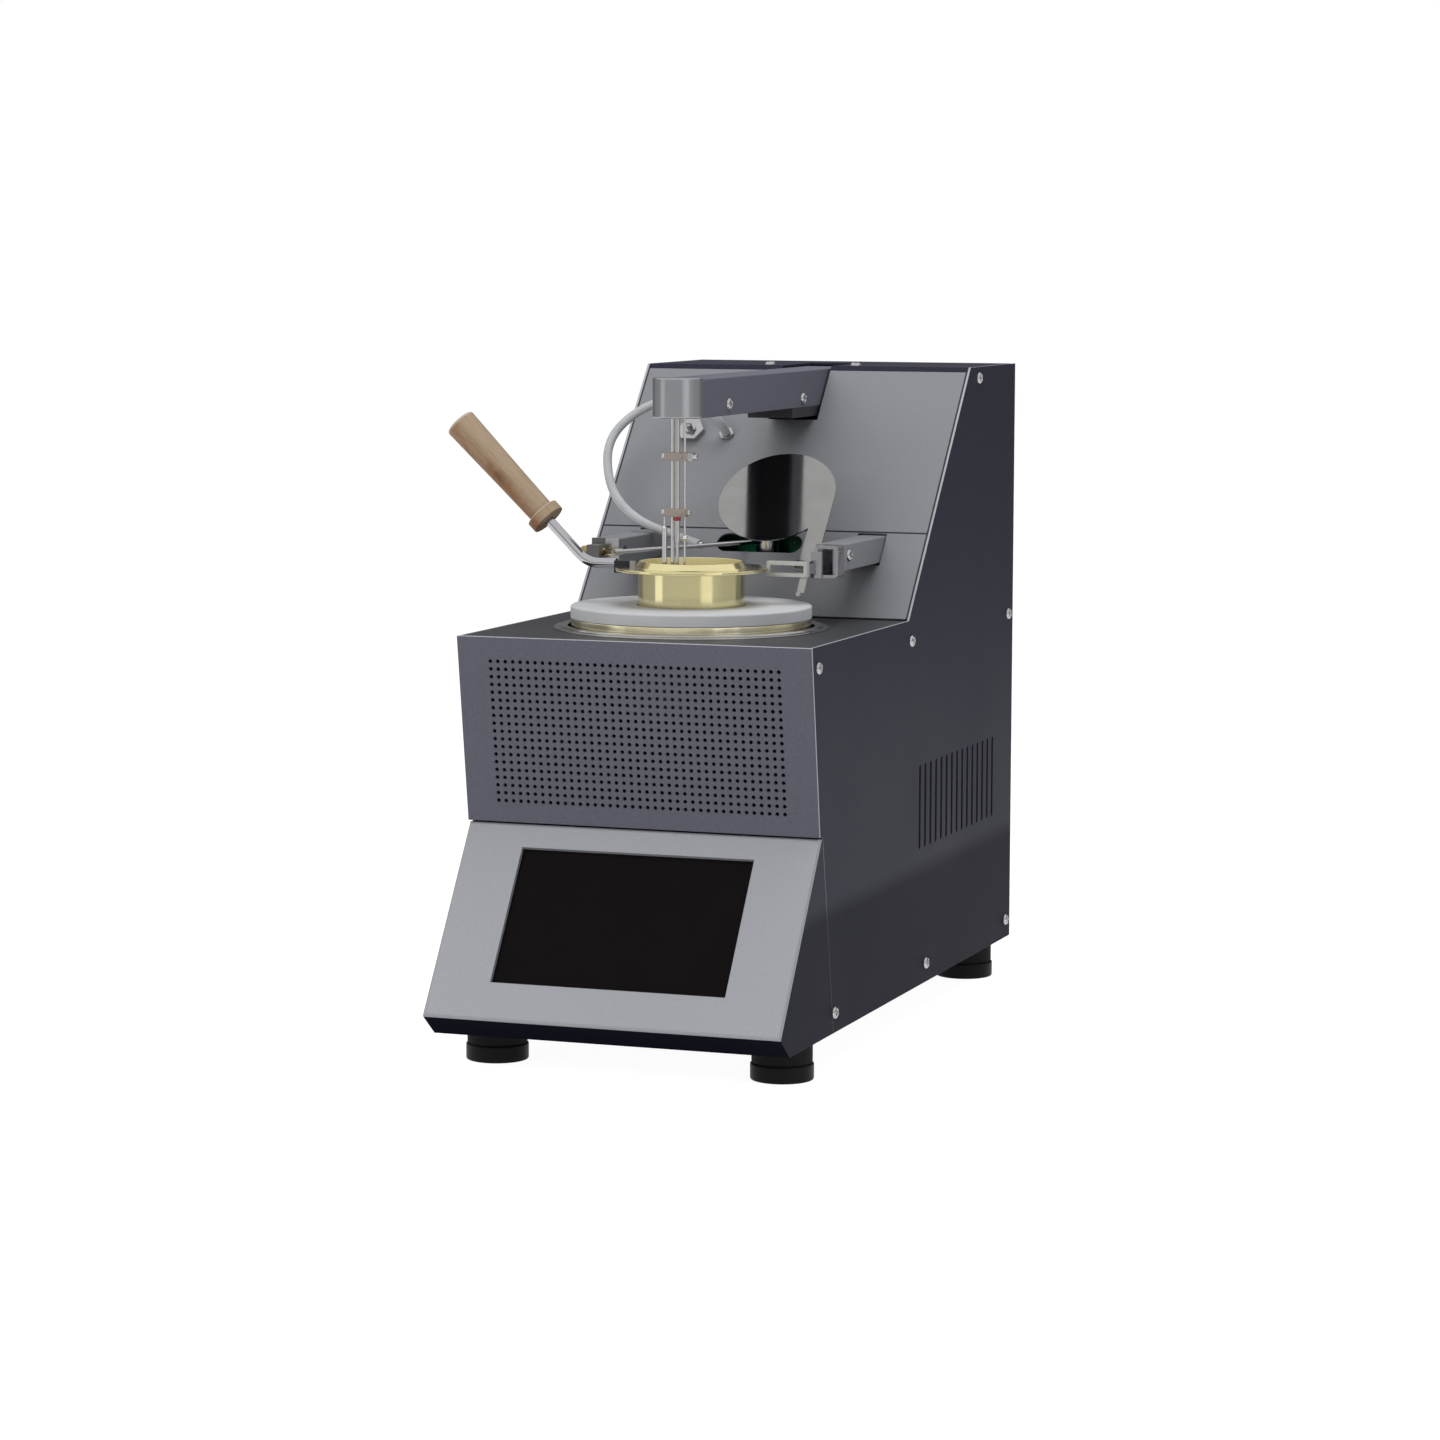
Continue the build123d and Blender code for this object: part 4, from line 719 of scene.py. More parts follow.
@dataclass(frozen=True)
class Moulding(Finish):
    """Moulded plastic, ceramic or rubber."""

    colour: Colour = (0.02, 0.02, 0.02)
    roughness: float = 0.45
    grain: float = 700.0
    depth: float = 0.00003
    edge: float = 0.0004
    sheen: float = 0.25

    def fill(self, sheet: ShaderSheet) -> None:
        """An even tone with a fine spark-eroded skin.

        Args:
            sheet: The material's sheet.
        """
        fine = sheet.noise(self.grain, 3.0, 0.55)
        light = tuple(min(1.0, c * 1.18 + 0.001) for c in self.colour)
        sheet.drive(sheet.ramp(fine, [(0.35, self.colour), (0.7, light)]), "Base Color")
        sheet.drive(sheet.rescale(fine, self.roughness - 0.05, self.roughness + 0.08), "Roughness")
        sheet.constant(Specular_IOR_Level=self.sheen)
        sheet.surface(fine, self.depth, self.edge)


@dataclass(frozen=True)
class ScreenGlass(Finish):
    """The switched-off touch screen."""

    glass: Colour = (0.0042, 0.0034, 0.0038)
    smeared: Colour = (0.0052, 0.0042, 0.0046)
    smears: float = 30.0
    sheen: float = 0.03

    def fill(self, sheet: ShaderSheet) -> None:
        """Near black, glossy, with the faintest smears.

        Args:
            sheet: The material's sheet.
        """
        smear = sheet.noise(self.smears, 4.0, 0.6)
        sheet.drive(sheet.ramp(smear, [(0.3, self.glass), (0.8, self.smeared)]), "Base Color")
        sheet.drive(sheet.rescale(smear, 0.16, 0.26), "Roughness")
        sheet.constant(Specular_IOR_Level=self.sheen)


@dataclass(frozen=True)
class CircuitBoard(Finish):
    """Green solder mask with its tracks and tinned pads."""

    track: Colour = (0.003, 0.050, 0.022)
    mask: Colour = (0.008, 0.105, 0.050)
    pad: Colour = (0.34, 0.24, 0.12)
    tracks: float = 140.0
    track_width: float = 0.06
    pads: float = 330.0
    roughness: float = 0.32
    sheen: float = 0.1

    def fill(self, sheet: ShaderSheet) -> None:
        """Tracks drawn by a fine cell pattern, pads as small dots.

        Args:
            sheet: The material's sheet.
        """
        cells = sheet.node("ShaderNodeTexBrick", offset=0.5, Scale=self.tracks, Mortar_Size=self.track_width)
        sheet.join(sheet.place, cells.inputs["Vector"])
        dots = sheet.node("ShaderNodeTexVoronoi", Scale=self.pads)
        sheet.join(sheet.place, dots.inputs["Vector"])
        masked = sheet.blend(cells.outputs["Fac"], self.track, self.mask)
        dotted = sheet.rescale(dots.outputs["Distance"], 1.0, 0.0, bottom=0.16, top=0.20)
        sheet.drive(sheet.blend(dotted, masked, self.pad), "Base Color")
        sheet.constant(Roughness=self.roughness, Specular_IOR_Level=self.sheen)


@dataclass(frozen=True)
class Silicone(Finish):
    """The milky hose."""

    colour: Colour = (0.350, 0.360, 0.370)
    cloud: float = 70.0
    light_share: float = 0.25
    light_reach: Point3 = (0.004, 0.004, 0.005)
    light_scale: float = 0.3

    def fill(self, sheet: ShaderSheet) -> None:
        """Slightly cloudy, letting light a little way in.

        Args:
            sheet: The material's sheet.
        """
        cloud = sheet.noise(self.cloud, 3.0, 0.5)
        light = tuple(min(1.0, c * 1.12) for c in self.colour)
        sheet.drive(sheet.ramp(cloud, [(0.3, self.colour), (0.75, light)]), "Base Color")
        sheet.drive(sheet.rescale(cloud, 0.30, 0.42), "Roughness")
        sheet.constant(
            Subsurface_Weight=self.light_share, Subsurface_Radius=self.light_reach,
            Subsurface_Scale=self.light_scale,
        )


@dataclass(frozen=True)
class TwoTone(Finish):
    """Metal with one differently coloured stretch, told apart by place."""

    first: Colour = (0.6, 0.6, 0.6)
    second: Colour = (0.3, 0.02, 0.02)
    coordinate: Coordinate = Coordinate.UP
    low: float = 0.0
    high: float = 0.0
    metal: float = 1.0
    roughness: float = 0.2
    dull_roughness: float = 0.45
    grain: float = 800.0
    depth: float = 0.000006
    edge: float = 0.0003

    def fill(self, sheet: ShaderSheet) -> None:
        """The second colour between low and high, where the surface is dull and isn't metal.

        Args:
            sheet: The material's sheet.
        """
        place = sheet.along(self.coordinate)
        above = sheet.calculate("GREATER_THAN", place, self.low)
        below = sheet.calculate("LESS_THAN", place, self.high)
        inside = sheet.calculate("MULTIPLY", above, below)
        grain = sheet.noise(self.grain, 2.0, 0.5)
        toned = sheet.ramp(grain, [(0.3, tuple(c * 0.93 for c in self.first)), (0.7, self.first)])
        sheet.drive(sheet.blend(inside, toned, self.second), "Base Color")
        sheet.drive(sheet.rescale(inside, self.metal, 0.0), "Metallic")
        sheet.drive(sheet.rescale(inside, self.roughness, self.dull_roughness), "Roughness")
        sheet.surface(grain, self.depth, self.edge)


CUP_CENTRE: Point2 = (0.0, -0.1177)

# Where the side panel meets the front shell's cheek: its height, and how far back it starts and ends.
CHEEK_TOP = 0.1265
CHEEK_FOOT = -0.1776
CHEEK_HEAD = -0.2011
CHEEK_LEAN = (CHEEK_FOOT - CHEEK_HEAD) / CHEEK_TOP

DARK_COAT: Colour = (0.0215, 0.0215, 0.0345)
DARK_SHADE: Colour = (0.008, 0.008, 0.014)

# On the panels, rim is the colour of a painted highlight on the sheet edges, shaded is the colour of painted
# shade, and cheek_seam paints a highlight line.
CASE_DARK = PowderCoat("case dark", "case_dark", DARK_COAT)
SHELL_DARK = PowderCoat("shell dark", "case_dark", DARK_COAT, shaded=DARK_SHADE, cheek_seam=True)
SIDE_DARK = PowderCoat(
    "side dark", "case_dark", DARK_COAT, rim_axis=Coordinate.ACROSS, rim=(0.34, 0.345, 0.37),
    shaded=DARK_SHADE, cheek_seam=True,
)
FRONT_GREY = PowderCoat(
    "front grey", "front_grey", (0.097, 0.097, 0.122), speckle=0.18, rim_axis=Coordinate.BACK,
    rim_start=0.1155, rim_below=0.9, rim=(0.36, 0.365, 0.39),
)
ARM_GREY = PowderCoat("arm grey", "arm_grey", (0.103, 0.104, 0.128), speckle=0.2)
DECK_DARK = PowderCoat("deck dark", "case_dark", (0.036, 0.037, 0.041), roughness=0.38, depth=0.00002)
# The face panels carry painted shade along their seams.
FACE_GREY = MetallicPaint("face grey", "face_grey", (0.205, 0.209, 0.224), seams=True)
BEZEL_SILVER = MetallicPaint("bezel silver", "bezel_silver", (0.292, 0.297, 0.317), roughness=0.40)
NOSE_SILVER = MetallicPaint("nose silver", "nose_silver", (0.36, 0.365, 0.385), roughness=0.24, metal=0.9)
STAINLESS = BareMetal("stainless sheet", "stainless", (0.46, 0.46, 0.47), roughness=0.16)
FLAME_STEEL = BareMetal("flame steel", "stainless", (0.70, 0.70, 0.70), roughness=0.12)
# The well's inside below the deck gets painted shade.
WELL_STEEL = BareMetal("well steel", "stainless", (0.40, 0.40, 0.41), roughness=0.14, painted_shade_below=0.2442)
BRIGHT_STEEL = BareMetal(
    "bright steel", "probe_steel", (0.76, 0.75, 0.74), roughness=0.06, brush=(500, 500, 60), depth=0.000001
)
SCREW_STEEL = BareMetal("screw steel", "screw_steel", (0.46, 0.46, 0.47), roughness=0.10, depth=0.000001)
CHROME = BareMetal("chrome plate", "chrome", (0.44, 0.44, 0.46), roughness=0.07, stain=0.05, depth=0.000001)
MIRROR = BareMetal(
    "mirror polish", "mirror", (0.31, 0.309, 0.30), roughness=0.07, depth=0.0000004, stain=0.10, edge=0.0
)
ALLOY = TwoTone(
    "machined alloy", "alloy", (0.55, 0.55, 0.55), (0.24, 0.208, 0.18), Coordinate.ACROSS, low=-0.0093,
    high=0.0068, metal=0.95,
)
ZINC = BareMetal("zinc plate", "zinc", (0.20, 0.20, 0.21), roughness=0.5, stain=0.2)
CUP_BRASS = TurnedBrass(
    "cup brass", "brass", CUP_CENTRE, (0.80, 0.73, 0.42), (0.52, 0.42, 0.16), roughness=0.12, bore=0.0322
)
PLATE_BRASS = TurnedBrass(
    "plate brass", "brass", CUP_CENTRE, (0.93, 0.86, 0.60), (0.56, 0.44, 0.20), roughness=0.16, stain=0.4
)
FITTING_BRASS = BareMetal("fitting brass", "brass", (0.50, 0.38, 0.17), roughness=0.22, stain=0.4)
WHITE_BOARD = FibreBoard("white board", "white_board", (0.44, 0.445, 0.455), 0.06)
FIBRE = FibreBoard("fibre blanket", "fibre", (0.42, 0.40, 0.36), 0.14)
CERAMIC = Moulding("white ceramic", "ceramic_white", (0.38, 0.38, 0.365), roughness=0.34)
BLACK_CLAMP = Moulding("black clamp", "black_clamp", (0.016, 0.017, 0.021), roughness=0.36)
BLACK_PLASTIC = Moulding("black plastic", "black_plastic", (0.012, 0.012, 0.013))
FOOT_BLACK = Moulding("foot black", "foot_black", (0.0055, 0.0055, 0.0062), roughness=0.42, sheen=0.10)
MOTOR_BLACK = Moulding("motor black", "motor", (0.018, 0.018, 0.021), roughness=0.40)
FILTER_FOAM = Moulding("filter foam", "black_plastic", (0.012, 0.012, 0.013), roughness=0.8, depth=0.0002)
ELEMENT = Moulding("element iron", "element", (0.05, 0.048, 0.045), roughness=0.7, depth=0.0001)
WOOD = HandleWood("handle wood", "wood")
SCREEN = ScreenGlass("screen glass", "screen_glass")
BOARD = CircuitBoard("circuit board", "board_green")
HOSE = Silicone("milky silicone", "hose")
DETECTOR = TwoTone(
    "detector steel", "probe_steel", (0.56, 0.55, 0.54), (0.22, 0.02, 0.025), low=0.3144, high=0.3171
)
PILOT = TwoTone(
    "pilot steel", "chrome", (0.50, 0.50, 0.50), (0.13, 0.13, 0.125), Coordinate.ACROSS, low=-0.0870,
    high=-0.0769, metal=0.9,
)

DRESS: dict[str, Finish] = {
    "base_pan": ZINC, "front_shell": SHELL_DARK, "screen_bezel": BEZEL_SILVER, "touch_screen": SCREEN,
    "upper_front_panel": FRONT_GREY, "deck_plate": DECK_DARK, "side_panel_left": SIDE_DARK,
    "side_panel_right": SIDE_DARK, "back_panel": CASE_DARK, "top_plate": CASE_DARK,
    "column_face_lower": FACE_GREY, "column_face_upper": FACE_GREY, "case_screws": SCREW_STEEL,
    "heater_well": WELL_STEEL, "heater_insulation": FIBRE, "heater_element": ELEMENT,
    "heating_plate": PLATE_BRASS, "insulating_disc": WHITE_BOARD, "column_shelf": ZINC,
    "arm_crossbar": ZINC, "support_arms": FACE_GREY, "swing_motor": MOTOR_BLACK, "arm_bracket": ZINC,
    "lift_motor": MOTOR_BLACK, "drive_board": BOARD, "gas_valve": FITTING_BRASS,
    "gas_pipe": FITTING_BRASS, "gas_manifold": STAINLESS, "main_board": BOARD, "power_supply": ZINC,
    "power_inlet": BLACK_PLASTIC, "fan_frame": BLACK_PLASTIC, "hinge_bracket": CHROME,
    "hinge_pin": CHROME, "igniter_frame": CERAMIC, "pilot_bracket": PILOT, "pilot_jet": FITTING_BRASS,
    "gas_hose": HOSE, "head_arm": ARM_GREY, "head_nose": NOSE_SILVER, "head_link": MOTOR_BLACK,
    "head_screws": SCREW_STEEL, "temperature_probe": BRIGHT_STEEL, "flash_detector": DETECTOR,
    "detector_lead": BRIGHT_STEEL, "short_sheath": BRIGHT_STEEL, "probe_clamps": ALLOY,
    "flame_tube": FLAME_STEEL, "lid": MIRROR, "cup": CUP_BRASS, "cup_clamp": BLACK_CLAMP,
    "handle_rod": CHROME, "handle_grip": WOOD, "foot_front_left": FOOT_BLACK,
    "foot_front_right": FOOT_BLACK, "foot_back_left": FOOT_BLACK, "foot_back_right": FOOT_BLACK,
    "fan_rotor": BLACK_PLASTIC, "power_rocker": BLACK_PLASTIC, "flame_valve_spindle": STAINLESS,
}


# ------------------------------------------------------------------------------------------ mesh making
def placed(name: str, data: bpy.types.ID) -> bpy.types.Object:
    """Make an object and put it in the scene.

    Args:
        name: Its name.
        data: Its mesh, curve, lamp or camera.

    Returns:
        The object.
    """
    made = bpy.data.objects.new(name, data)
    bpy.context.scene.collection.objects.link(made)
    return made


def finished(shape: bmesh.types.BMesh, name: str, outward: bool = True) -> bpy.types.Mesh:
    """Turn a shape on the bench into a mesh, and clear the bench.

    Args:
        shape: The shape.
        name: The mesh's name.
        outward: Whether to turn its faces outward first.

    Returns:
        The mesh.
    """
    if outward:
        bmesh.ops.recalc_face_normals(shape, faces=shape.faces)
    mesh = bpy.data.meshes.new(name)
    shape.to_mesh(mesh)
    shape.free()
    return mesh


def bridge(shape: bmesh.types.BMesh, low: Ring, high: Ring) -> None:
    """Close the gap between two rings of as many points with a band of faces.

    Args:
        shape: The shape that the rings belong to.
        low: One ring.
        high: The other.
    """
    for step in range(len(low)):
        following = (step + 1) % len(low)
        shape.faces.new((low[step], low[following], high[following], high[step]))


def circle(radius: float, steps: int) -> list[Point2]:
    """Points round a circle.

    Args:
        radius: Its radius.
        steps: How many points.

    Returns:
        The points.
    """
    angles = [2 * math.pi * step / steps for step in range(steps)]
    return [(radius * math.cos(angle), radius * math.sin(angle)) for angle in angles]


class Workshop:
    """Makes mesh pieces, dresses them and sets them on a body of the frame."""

    def piece(
        self, name: str, mesh: bpy.types.Mesh, finish: Finish, body: str | None, replaces: Sequence[str] = (),
        crease: float = 32.0,
    ) -> bpy.types.Object:
        """Turn a mesh into a finished piece.

        Args:
            name: The piece's name.
            mesh: Its mesh, in the tester's frame.
            finish: Its finish.
            body: The body it rides on, or None for a piece that rides on no body.
            replaces: The frame's nodes it stands for.
            crease: Edges sharper than this many degrees stay sharp.

        Returns:
            The piece.
        """
        made = placed(name, mesh)
        mesh.materials.append(finish.material())
        mesh.polygons.foreach_set("use_smooth", [True] * len(mesh.polygons))
        mesh.set_sharp_from_angle(angle=math.radians(crease))
        mesh.update()
        weighted = made.modifiers.new("even flats", "WEIGHTED_NORMAL")
        weighted.keep_sharp = True
        if body is not None:
            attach(made, body)
        if replaces:
            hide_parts(*replaces)
        log.info("%s: %d faces", name, len(mesh.polygons))
        return made

    def round_corners(self, outline: Sequence[Point3], steps: int = 5) -> list[Point2]:
        """Round the corners of an outline.

        Args:
            outline: (x, y, corner radius) of each corner, in millimetres.
            steps: Points on each rounded corner, less one.

        Returns:
            The points of the rounded outline, in metres.
        """
        corners = [(x * MM, y * MM, radius * MM) for x, y, radius in outline]
        made: list[Point2] = []
        for index, (x, y, radius) in enumerate(corners):
            here = Vector((x, y))
            if radius <= 0 or index in (0, len(corners) - 1):
                made.append((x, y))
                continue
            to_before = (Vector(corners[index - 1][:2]) - here).normalized()
            to_after = (Vector(corners[index + 1][:2]) - here).normalized()
            half = math.acos(max(-1.0, min(1.0, to_before.dot(to_after)))) / 2
            if half > STRAIGHT:
                made.append((x, y))
                continue
            reach = radius / math.tan(half)
            centre = here + (to_before + to_after).normalized() * (radius / math.sin(half))
            start, end = here + to_before * reach - centre, here + to_after * reach - centre
            sweep = start.angle_signed(end)
            for step in range(steps + 1):
                turn = Matrix.Rotation(-sweep * step / steps, 2)
                spot = centre + turn @ start
                made.append((spot.x, spot.y))
        return made

    def lathe(
        self, name: str, outline: Sequence[Point2], place: Matrix, segments: int = 128,
        ripple: Callable[[float, float, float], float] | None = None,
    ) -> bpy.types.Mesh:
        """Turn an outline round an axis.

        Args:
            name: The mesh's name.
            outline: (radius, height) points, from the axis or a bore back to it.
            place: Carries the axis from local Z to its place.
            segments: Steps round the axis.
            ripple: Gives the radius from (radius, height, angle), for knurls.

        Returns:
            The mesh.
        """
        shape = bmesh.new()
        rings: list[Ring] = []
        for radius, height in outline:
            if radius < ON_AXIS:
                rings.append([shape.verts.new(place @ Vector((0, 0, height)))])
                continue
            ring = []
            for step in range(segments):
                angle = 2 * math.pi * step / segments
                reach = ripple(radius, height, angle) if ripple else radius
                spot = Vector((reach * math.cos(angle), reach * math.sin(angle), height))
                ring.append(shape.verts.new(place @ spot))
            rings.append(ring)
        closed = len(rings[0]) > 1 and len(rings[-1]) > 1
        pairs = list(zip(rings, rings[1:])) + ([(rings[-1], rings[0])] if closed else [])
        for low, high in pairs:
            if len(low) > 1 and len(high) > 1:
                bridge(shape, low, high)
            elif len(low) > 1 or len(high) > 1:
                for step in range(segments):
                    following = (step + 1) % segments
                    if len(low) == 1:
                        shape.faces.new((low[0], high[following], high[step]))
                    else:
                        shape.faces.new((low[step], low[following], high[0]))
        return finished(shape, name)

    def turned(
        self, name: str, outline: Sequence[Point3], place: Matrix, finish: Finish, body: str,
        replaces: Sequence[str] = (), segments: int = 192, steps: int = 5,
    ) -> None:
        """Turn a rounded outline, and make a piece of it.

        Args:
            name: The piece's name.
            outline: (radius, height, corner radius) of each corner, in millimetres; a ring's comes back to
                its start.
            place: Carries the axis from local Z to its place.
            finish: The piece's finish.
            body: The body it rides on.
            replaces: The frame's nodes it stands for.
            segments: Steps round the axis.
            steps: Points on each rounded corner, less one.
        """
        points = self.round_corners(outline, steps)
        if points[0] == points[-1]:
            points.pop()
        self.piece(name, self.lathe(name, points, place, segments), finish, body, replaces)

    def tube(
        self, name: str, path: Sequence[Vector], radius: float, bore: float, segments: int
    ) -> bpy.types.Mesh:
        """A hollow tube along a path.

        Args:
            name: The mesh's name.
            path: The points of its centreline.
            radius: The outer radius.
            bore: The inner radius.
            segments: Steps round it.

        Returns:
            The mesh.
        """
        shape = bmesh.new()
        side = Vector((1, 0, 0))
        inner: list[Ring] = []
        outer: list[Ring] = []
        for index, spot in enumerate(path):
            ahead = path[min(index + 1, len(path) - 1)] - path[max(index - 1, 0)]
            run = ahead.normalized()
            side = (side - run * side.dot(run)).normalized()
            across = run.cross(side)
            for rings, reach in ((outer, radius), (inner, bore)):
                points = [spot + side * x + across * y for x, y in circle(reach, segments)]
                rings.append([shape.verts.new(point) for point in points])
        for rings in (outer, inner):
            for low, high in zip(rings, rings[1:]):
                bridge(shape, low, high)
        for end in (0, -1):
            bridge(shape, outer[end], inner[end])
        return finished(shape, name)

    def joined(self, name: str, meshes: Sequence[bpy.types.Mesh]) -> bpy.types.Mesh:
        """Join meshes into one.

        Args:
            name: The new mesh's name.
            meshes: What to join.

        Returns:
            The mesh.
        """
        shape = bmesh.new()
        for mesh in meshes:
            shape.from_mesh(mesh)
        return finished(shape, name, outward=False)


def facing(spot: Point3, outward: Point3, spin: float = 0.0) -> Matrix:
    """A placement whose local Z points outward.

    Args:
        spot: Where the local origin goes, in millimetres.
        outward: Where the local Z goes.
        spin: A turn about the outward direction first, in degrees.

    Returns:
        The placement.
    """
    turn = Vector((0, 0, 1)).rotation_difference(Vector(outward).normalized()).to_matrix().to_4x4()
    origin = Matrix.Translation(Vector([value * MM for value in spot]))
    return origin @ turn @ Matrix.Rotation(math.radians(spin), 4, "Z")


# ------------------------------------------------------------------------------------------ sub-assemblies
@dataclass
class Cabinet:
    """The sheet-steel cabinet and all that keeps the frame's own shape."""

    nodes: dict[str, bpy.types.Object]

    def dress(self) -> None:
        """Give every node of the frame its finish."""
        for name, node in self.nodes.items():
            finish = DRESS[name]
            if not node.material_slots:
                node.data.materials.append(finish.material())
            for slot in node.material_slots:
                slot.material = finish.material()
        log.info("%d nodes dressed", len(self.nodes))


@dataclass
class Screws:
    """The dome-headed cross-recess screws, their heads modelled over the frame's plain ones."""

    shop: Workshop
    radius: float = 4.0 * MM
    rise: float = 2.4 * MM
    shank: float = 2.0 * MM
    shank_length: float = 6.0 * MM
    recess_width: float = 1.05 * MM
    recess_reach: float = 2.8 * MM
    recess_depth: float = 1.9 * MM
    recess_side: float = 0.35 * MM
    recess_end: float = 0.6 * MM
    recess_floor: float = 0.2 * MM
    dome_power: float = 2.6
    brim_from: float = 0.98
    brim_share: float = 0.5
    rings: int = 16
    steps: int = 48
    half_width: float = 116.7
    side_spots: tuple[Point2, ...] = (
        (133.3, 398.0), (-18.6, 231.4), (-211.2, 231.6), (212.2, 230.5), (212.8, 12.8), (19.0, 12.8),
        (-175.8, 12.8),
    )
    arm_spot: Point3 = (86.5, -59.4, 289.3)
    top_spots: tuple[Point2, ...] = ((-31.0, 125.5), (31.0, 125.5))
    top_height: float = 405.6
    back_y: float = 224.2
    back_spots: tuple[Point2, ...] = ((104.0, 12.8), (104.0, 245.0), (104.0, 392.0))
    head_spots: tuple[Point2, ...] = ((-92.0, 386.6), (56.7, 385.2))
    head_half: float = 15.8

    def head(self, name: str, place: Matrix) -> bpy.types.Mesh:
        """One screw: a domed head with a sunk cross, and its shank.

        Args:
            name: The mesh's name.
            place: Carries local Z to the way the head faces.

        Returns:
            The mesh.
        """
        shape = bmesh.new()
        levels: list[Ring] = []
        for ring in range(1, self.rings + 1):
            points = circle(self.radius * ring / self.rings, self.steps)
            levels.append([shape.verts.new(place @ Vector((x, y, self.height(x, y)))) for x, y in points])
        top = shape.verts.new(place @ Vector((0, 0, self.height(0, 0))))
        for step in range(self.steps):
            following = (step + 1) % self.steps
            shape.faces.new((top, levels[0][step], levels[0][following]))
            for low, high in zip(levels, levels[1:]):
                shape.faces.new((low[step], high[step], high[following], low[following]))
        rim, neck, tip = (
            [shape.verts.new(place @ Vector((x, y, level))) for x, y in circle(radius, self.steps)]
            for radius, level in ((self.radius, 0), (self.shank, 0), (self.shank, -self.shank_length))
        )
        for step in range(self.steps):
            following = (step + 1) % self.steps
            shape.faces.new((levels[-1][step], rim[step], rim[following], levels[-1][following]))
            shape.faces.new((rim[step], neck[step], neck[following], rim[following]))
            shape.faces.new((neck[step], tip[step], tip[following], neck[following]))
        shape.faces.new(tip)
        return finished(shape, name)

    def height(self, x: float, y: float) -> float:
        """The head's height over its seat, with the cross sunk into it.

        Args:
            x: Across the head.
            y: The other way across.

        Returns:
            The height.
        """
        out = min(1.0, math.hypot(x, y) / self.radius)
        dome = self.rise * math.sqrt(max(0.0, 1 - out**self.dome_power))
        if out > self.brim_from:
            dome = min(dome, self.brim_share * self.rise)
        arm = min(abs(x), abs(y))
        reach = max(abs(x), abs(y))
        side = max(0.0, min(1.0, (self.recess_width - arm) / self.recess_side))
        end = max(0.0, min(1.0, (self.recess_reach - reach) / self.recess_end))
        return max(self.recess_floor, dome - self.recess_depth * side * end)

    def build(self) -> None:
        """All screws of the case, and the four of the head."""
        case: list[Matrix] = []
        for sign in (-1, 1):
            for index, (y, z) in enumerate(self.side_spots):
                case.append(facing((sign * self.half_width, y, z), (sign, 0, 0), 17 + 31 * index))
            x, y, z = self.arm_spot
            case.append(facing((sign * x, y, z), (sign, 0, 0), 40))
            for index, (x, z) in enumerate(self.back_spots):
                case.append(facing((sign * x, self.back_y, z), (0, 1, 0), 23 * index))
        for x, y in self.top_spots:
            case.append(facing((x, y, self.top_height), (0, 0, 1), x))
        head = [
            facing((sign * self.head_half, y, z), (sign, 0, 0), 45 + 20 * index)
            for sign in (-1, 1)
            for index, (y, z) in enumerate(self.head_spots)
        ]
        for node, body, places in (("case_screws", "cabinet", case), ("head_screws", "head", head)):
            mesh = self.shop.joined(f"{node}_turned", [self.head("screw", place) for place in places])
            self.shop.piece(f"{node}_turned", mesh, SCREW_STEEL, body, [node])


@dataclass
class Feet:
    """The four levelling feet, each with its finely knurled ring."""

    shop: Workshop
    names: tuple[str, ...] = ("foot_front_left", "foot_front_right", "foot_back_left", "foot_back_right")
    ridges: int = 84
    steps_per_ridge: int = 4
    knurl: float = 0.32 * MM
    knurl_from: float = 18.8 * MM
    knurl_low: float = -11.9 * MM
    knurl_high: float = -0.9 * MM
    inset_low: float = 0.4 * MM
    inset_high: float = 0.6 * MM
    outline: tuple[Point3, ...] = (
        (0.0, -23.5, 0.0), (19.8, -23.5, 1.2), (19.8, -13.1, 0.8), (18.0, -13.1, 0.0), (18.0, -12.2, 0.0),
        (19.0, -12.2, 0.4), (19.0, -0.4, 0.5), (4.0, -0.4, 0.0), (4.0, 16.0, 0.4), (0.0, 16.0, 0.0),
    )

    def ripple(self, radius: float, height: float, angle: float) -> float:
        """The knurl's radius.

        Args:
            radius: The plain radius.
            height: Height over the base.
            angle: Where round the foot.

        Returns:
            The radius with its knurl.
        """
        if radius < self.knurl_from or not self.knurl_low < height < self.knurl_high:
            return radius
        wave = abs(math.sin(self.ridges * angle / 2))
        return radius - self.knurl * (1 - wave)

    def build(self) -> None:
        """Each foot on its own body, with a ring of points close to each end of its knurled band."""
        corners = self.shop.round_corners(self.outline, 4)
        dense: list[Point2] = []
        for before, after in zip(corners, corners[1:]):
            dense.append(before)
            upright = abs(before[0] - after[0]) < ALIKE
            if upright and before[0] > self.knurl_from and after[1] - before[1] > LONG_SIDE:
                dense += [(before[0], before[1] + self.inset_low), (before[0], after[1] - self.inset_high)]
        dense.append(corners[-1])
        for name in self.names:
            low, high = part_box(name)
            place = Matrix.Translation(((low.x + high.x) / 2, (low.y + high.y) / 2, 0))
            steps = self.ridges * self.steps_per_ridge
            mesh = self.shop.lathe(f"{name}_knurled", dense, place, steps, self.ripple)
            self.shop.piece(f"{name}_knurled", mesh, FOOT_BLACK, name, [name], crease=40)


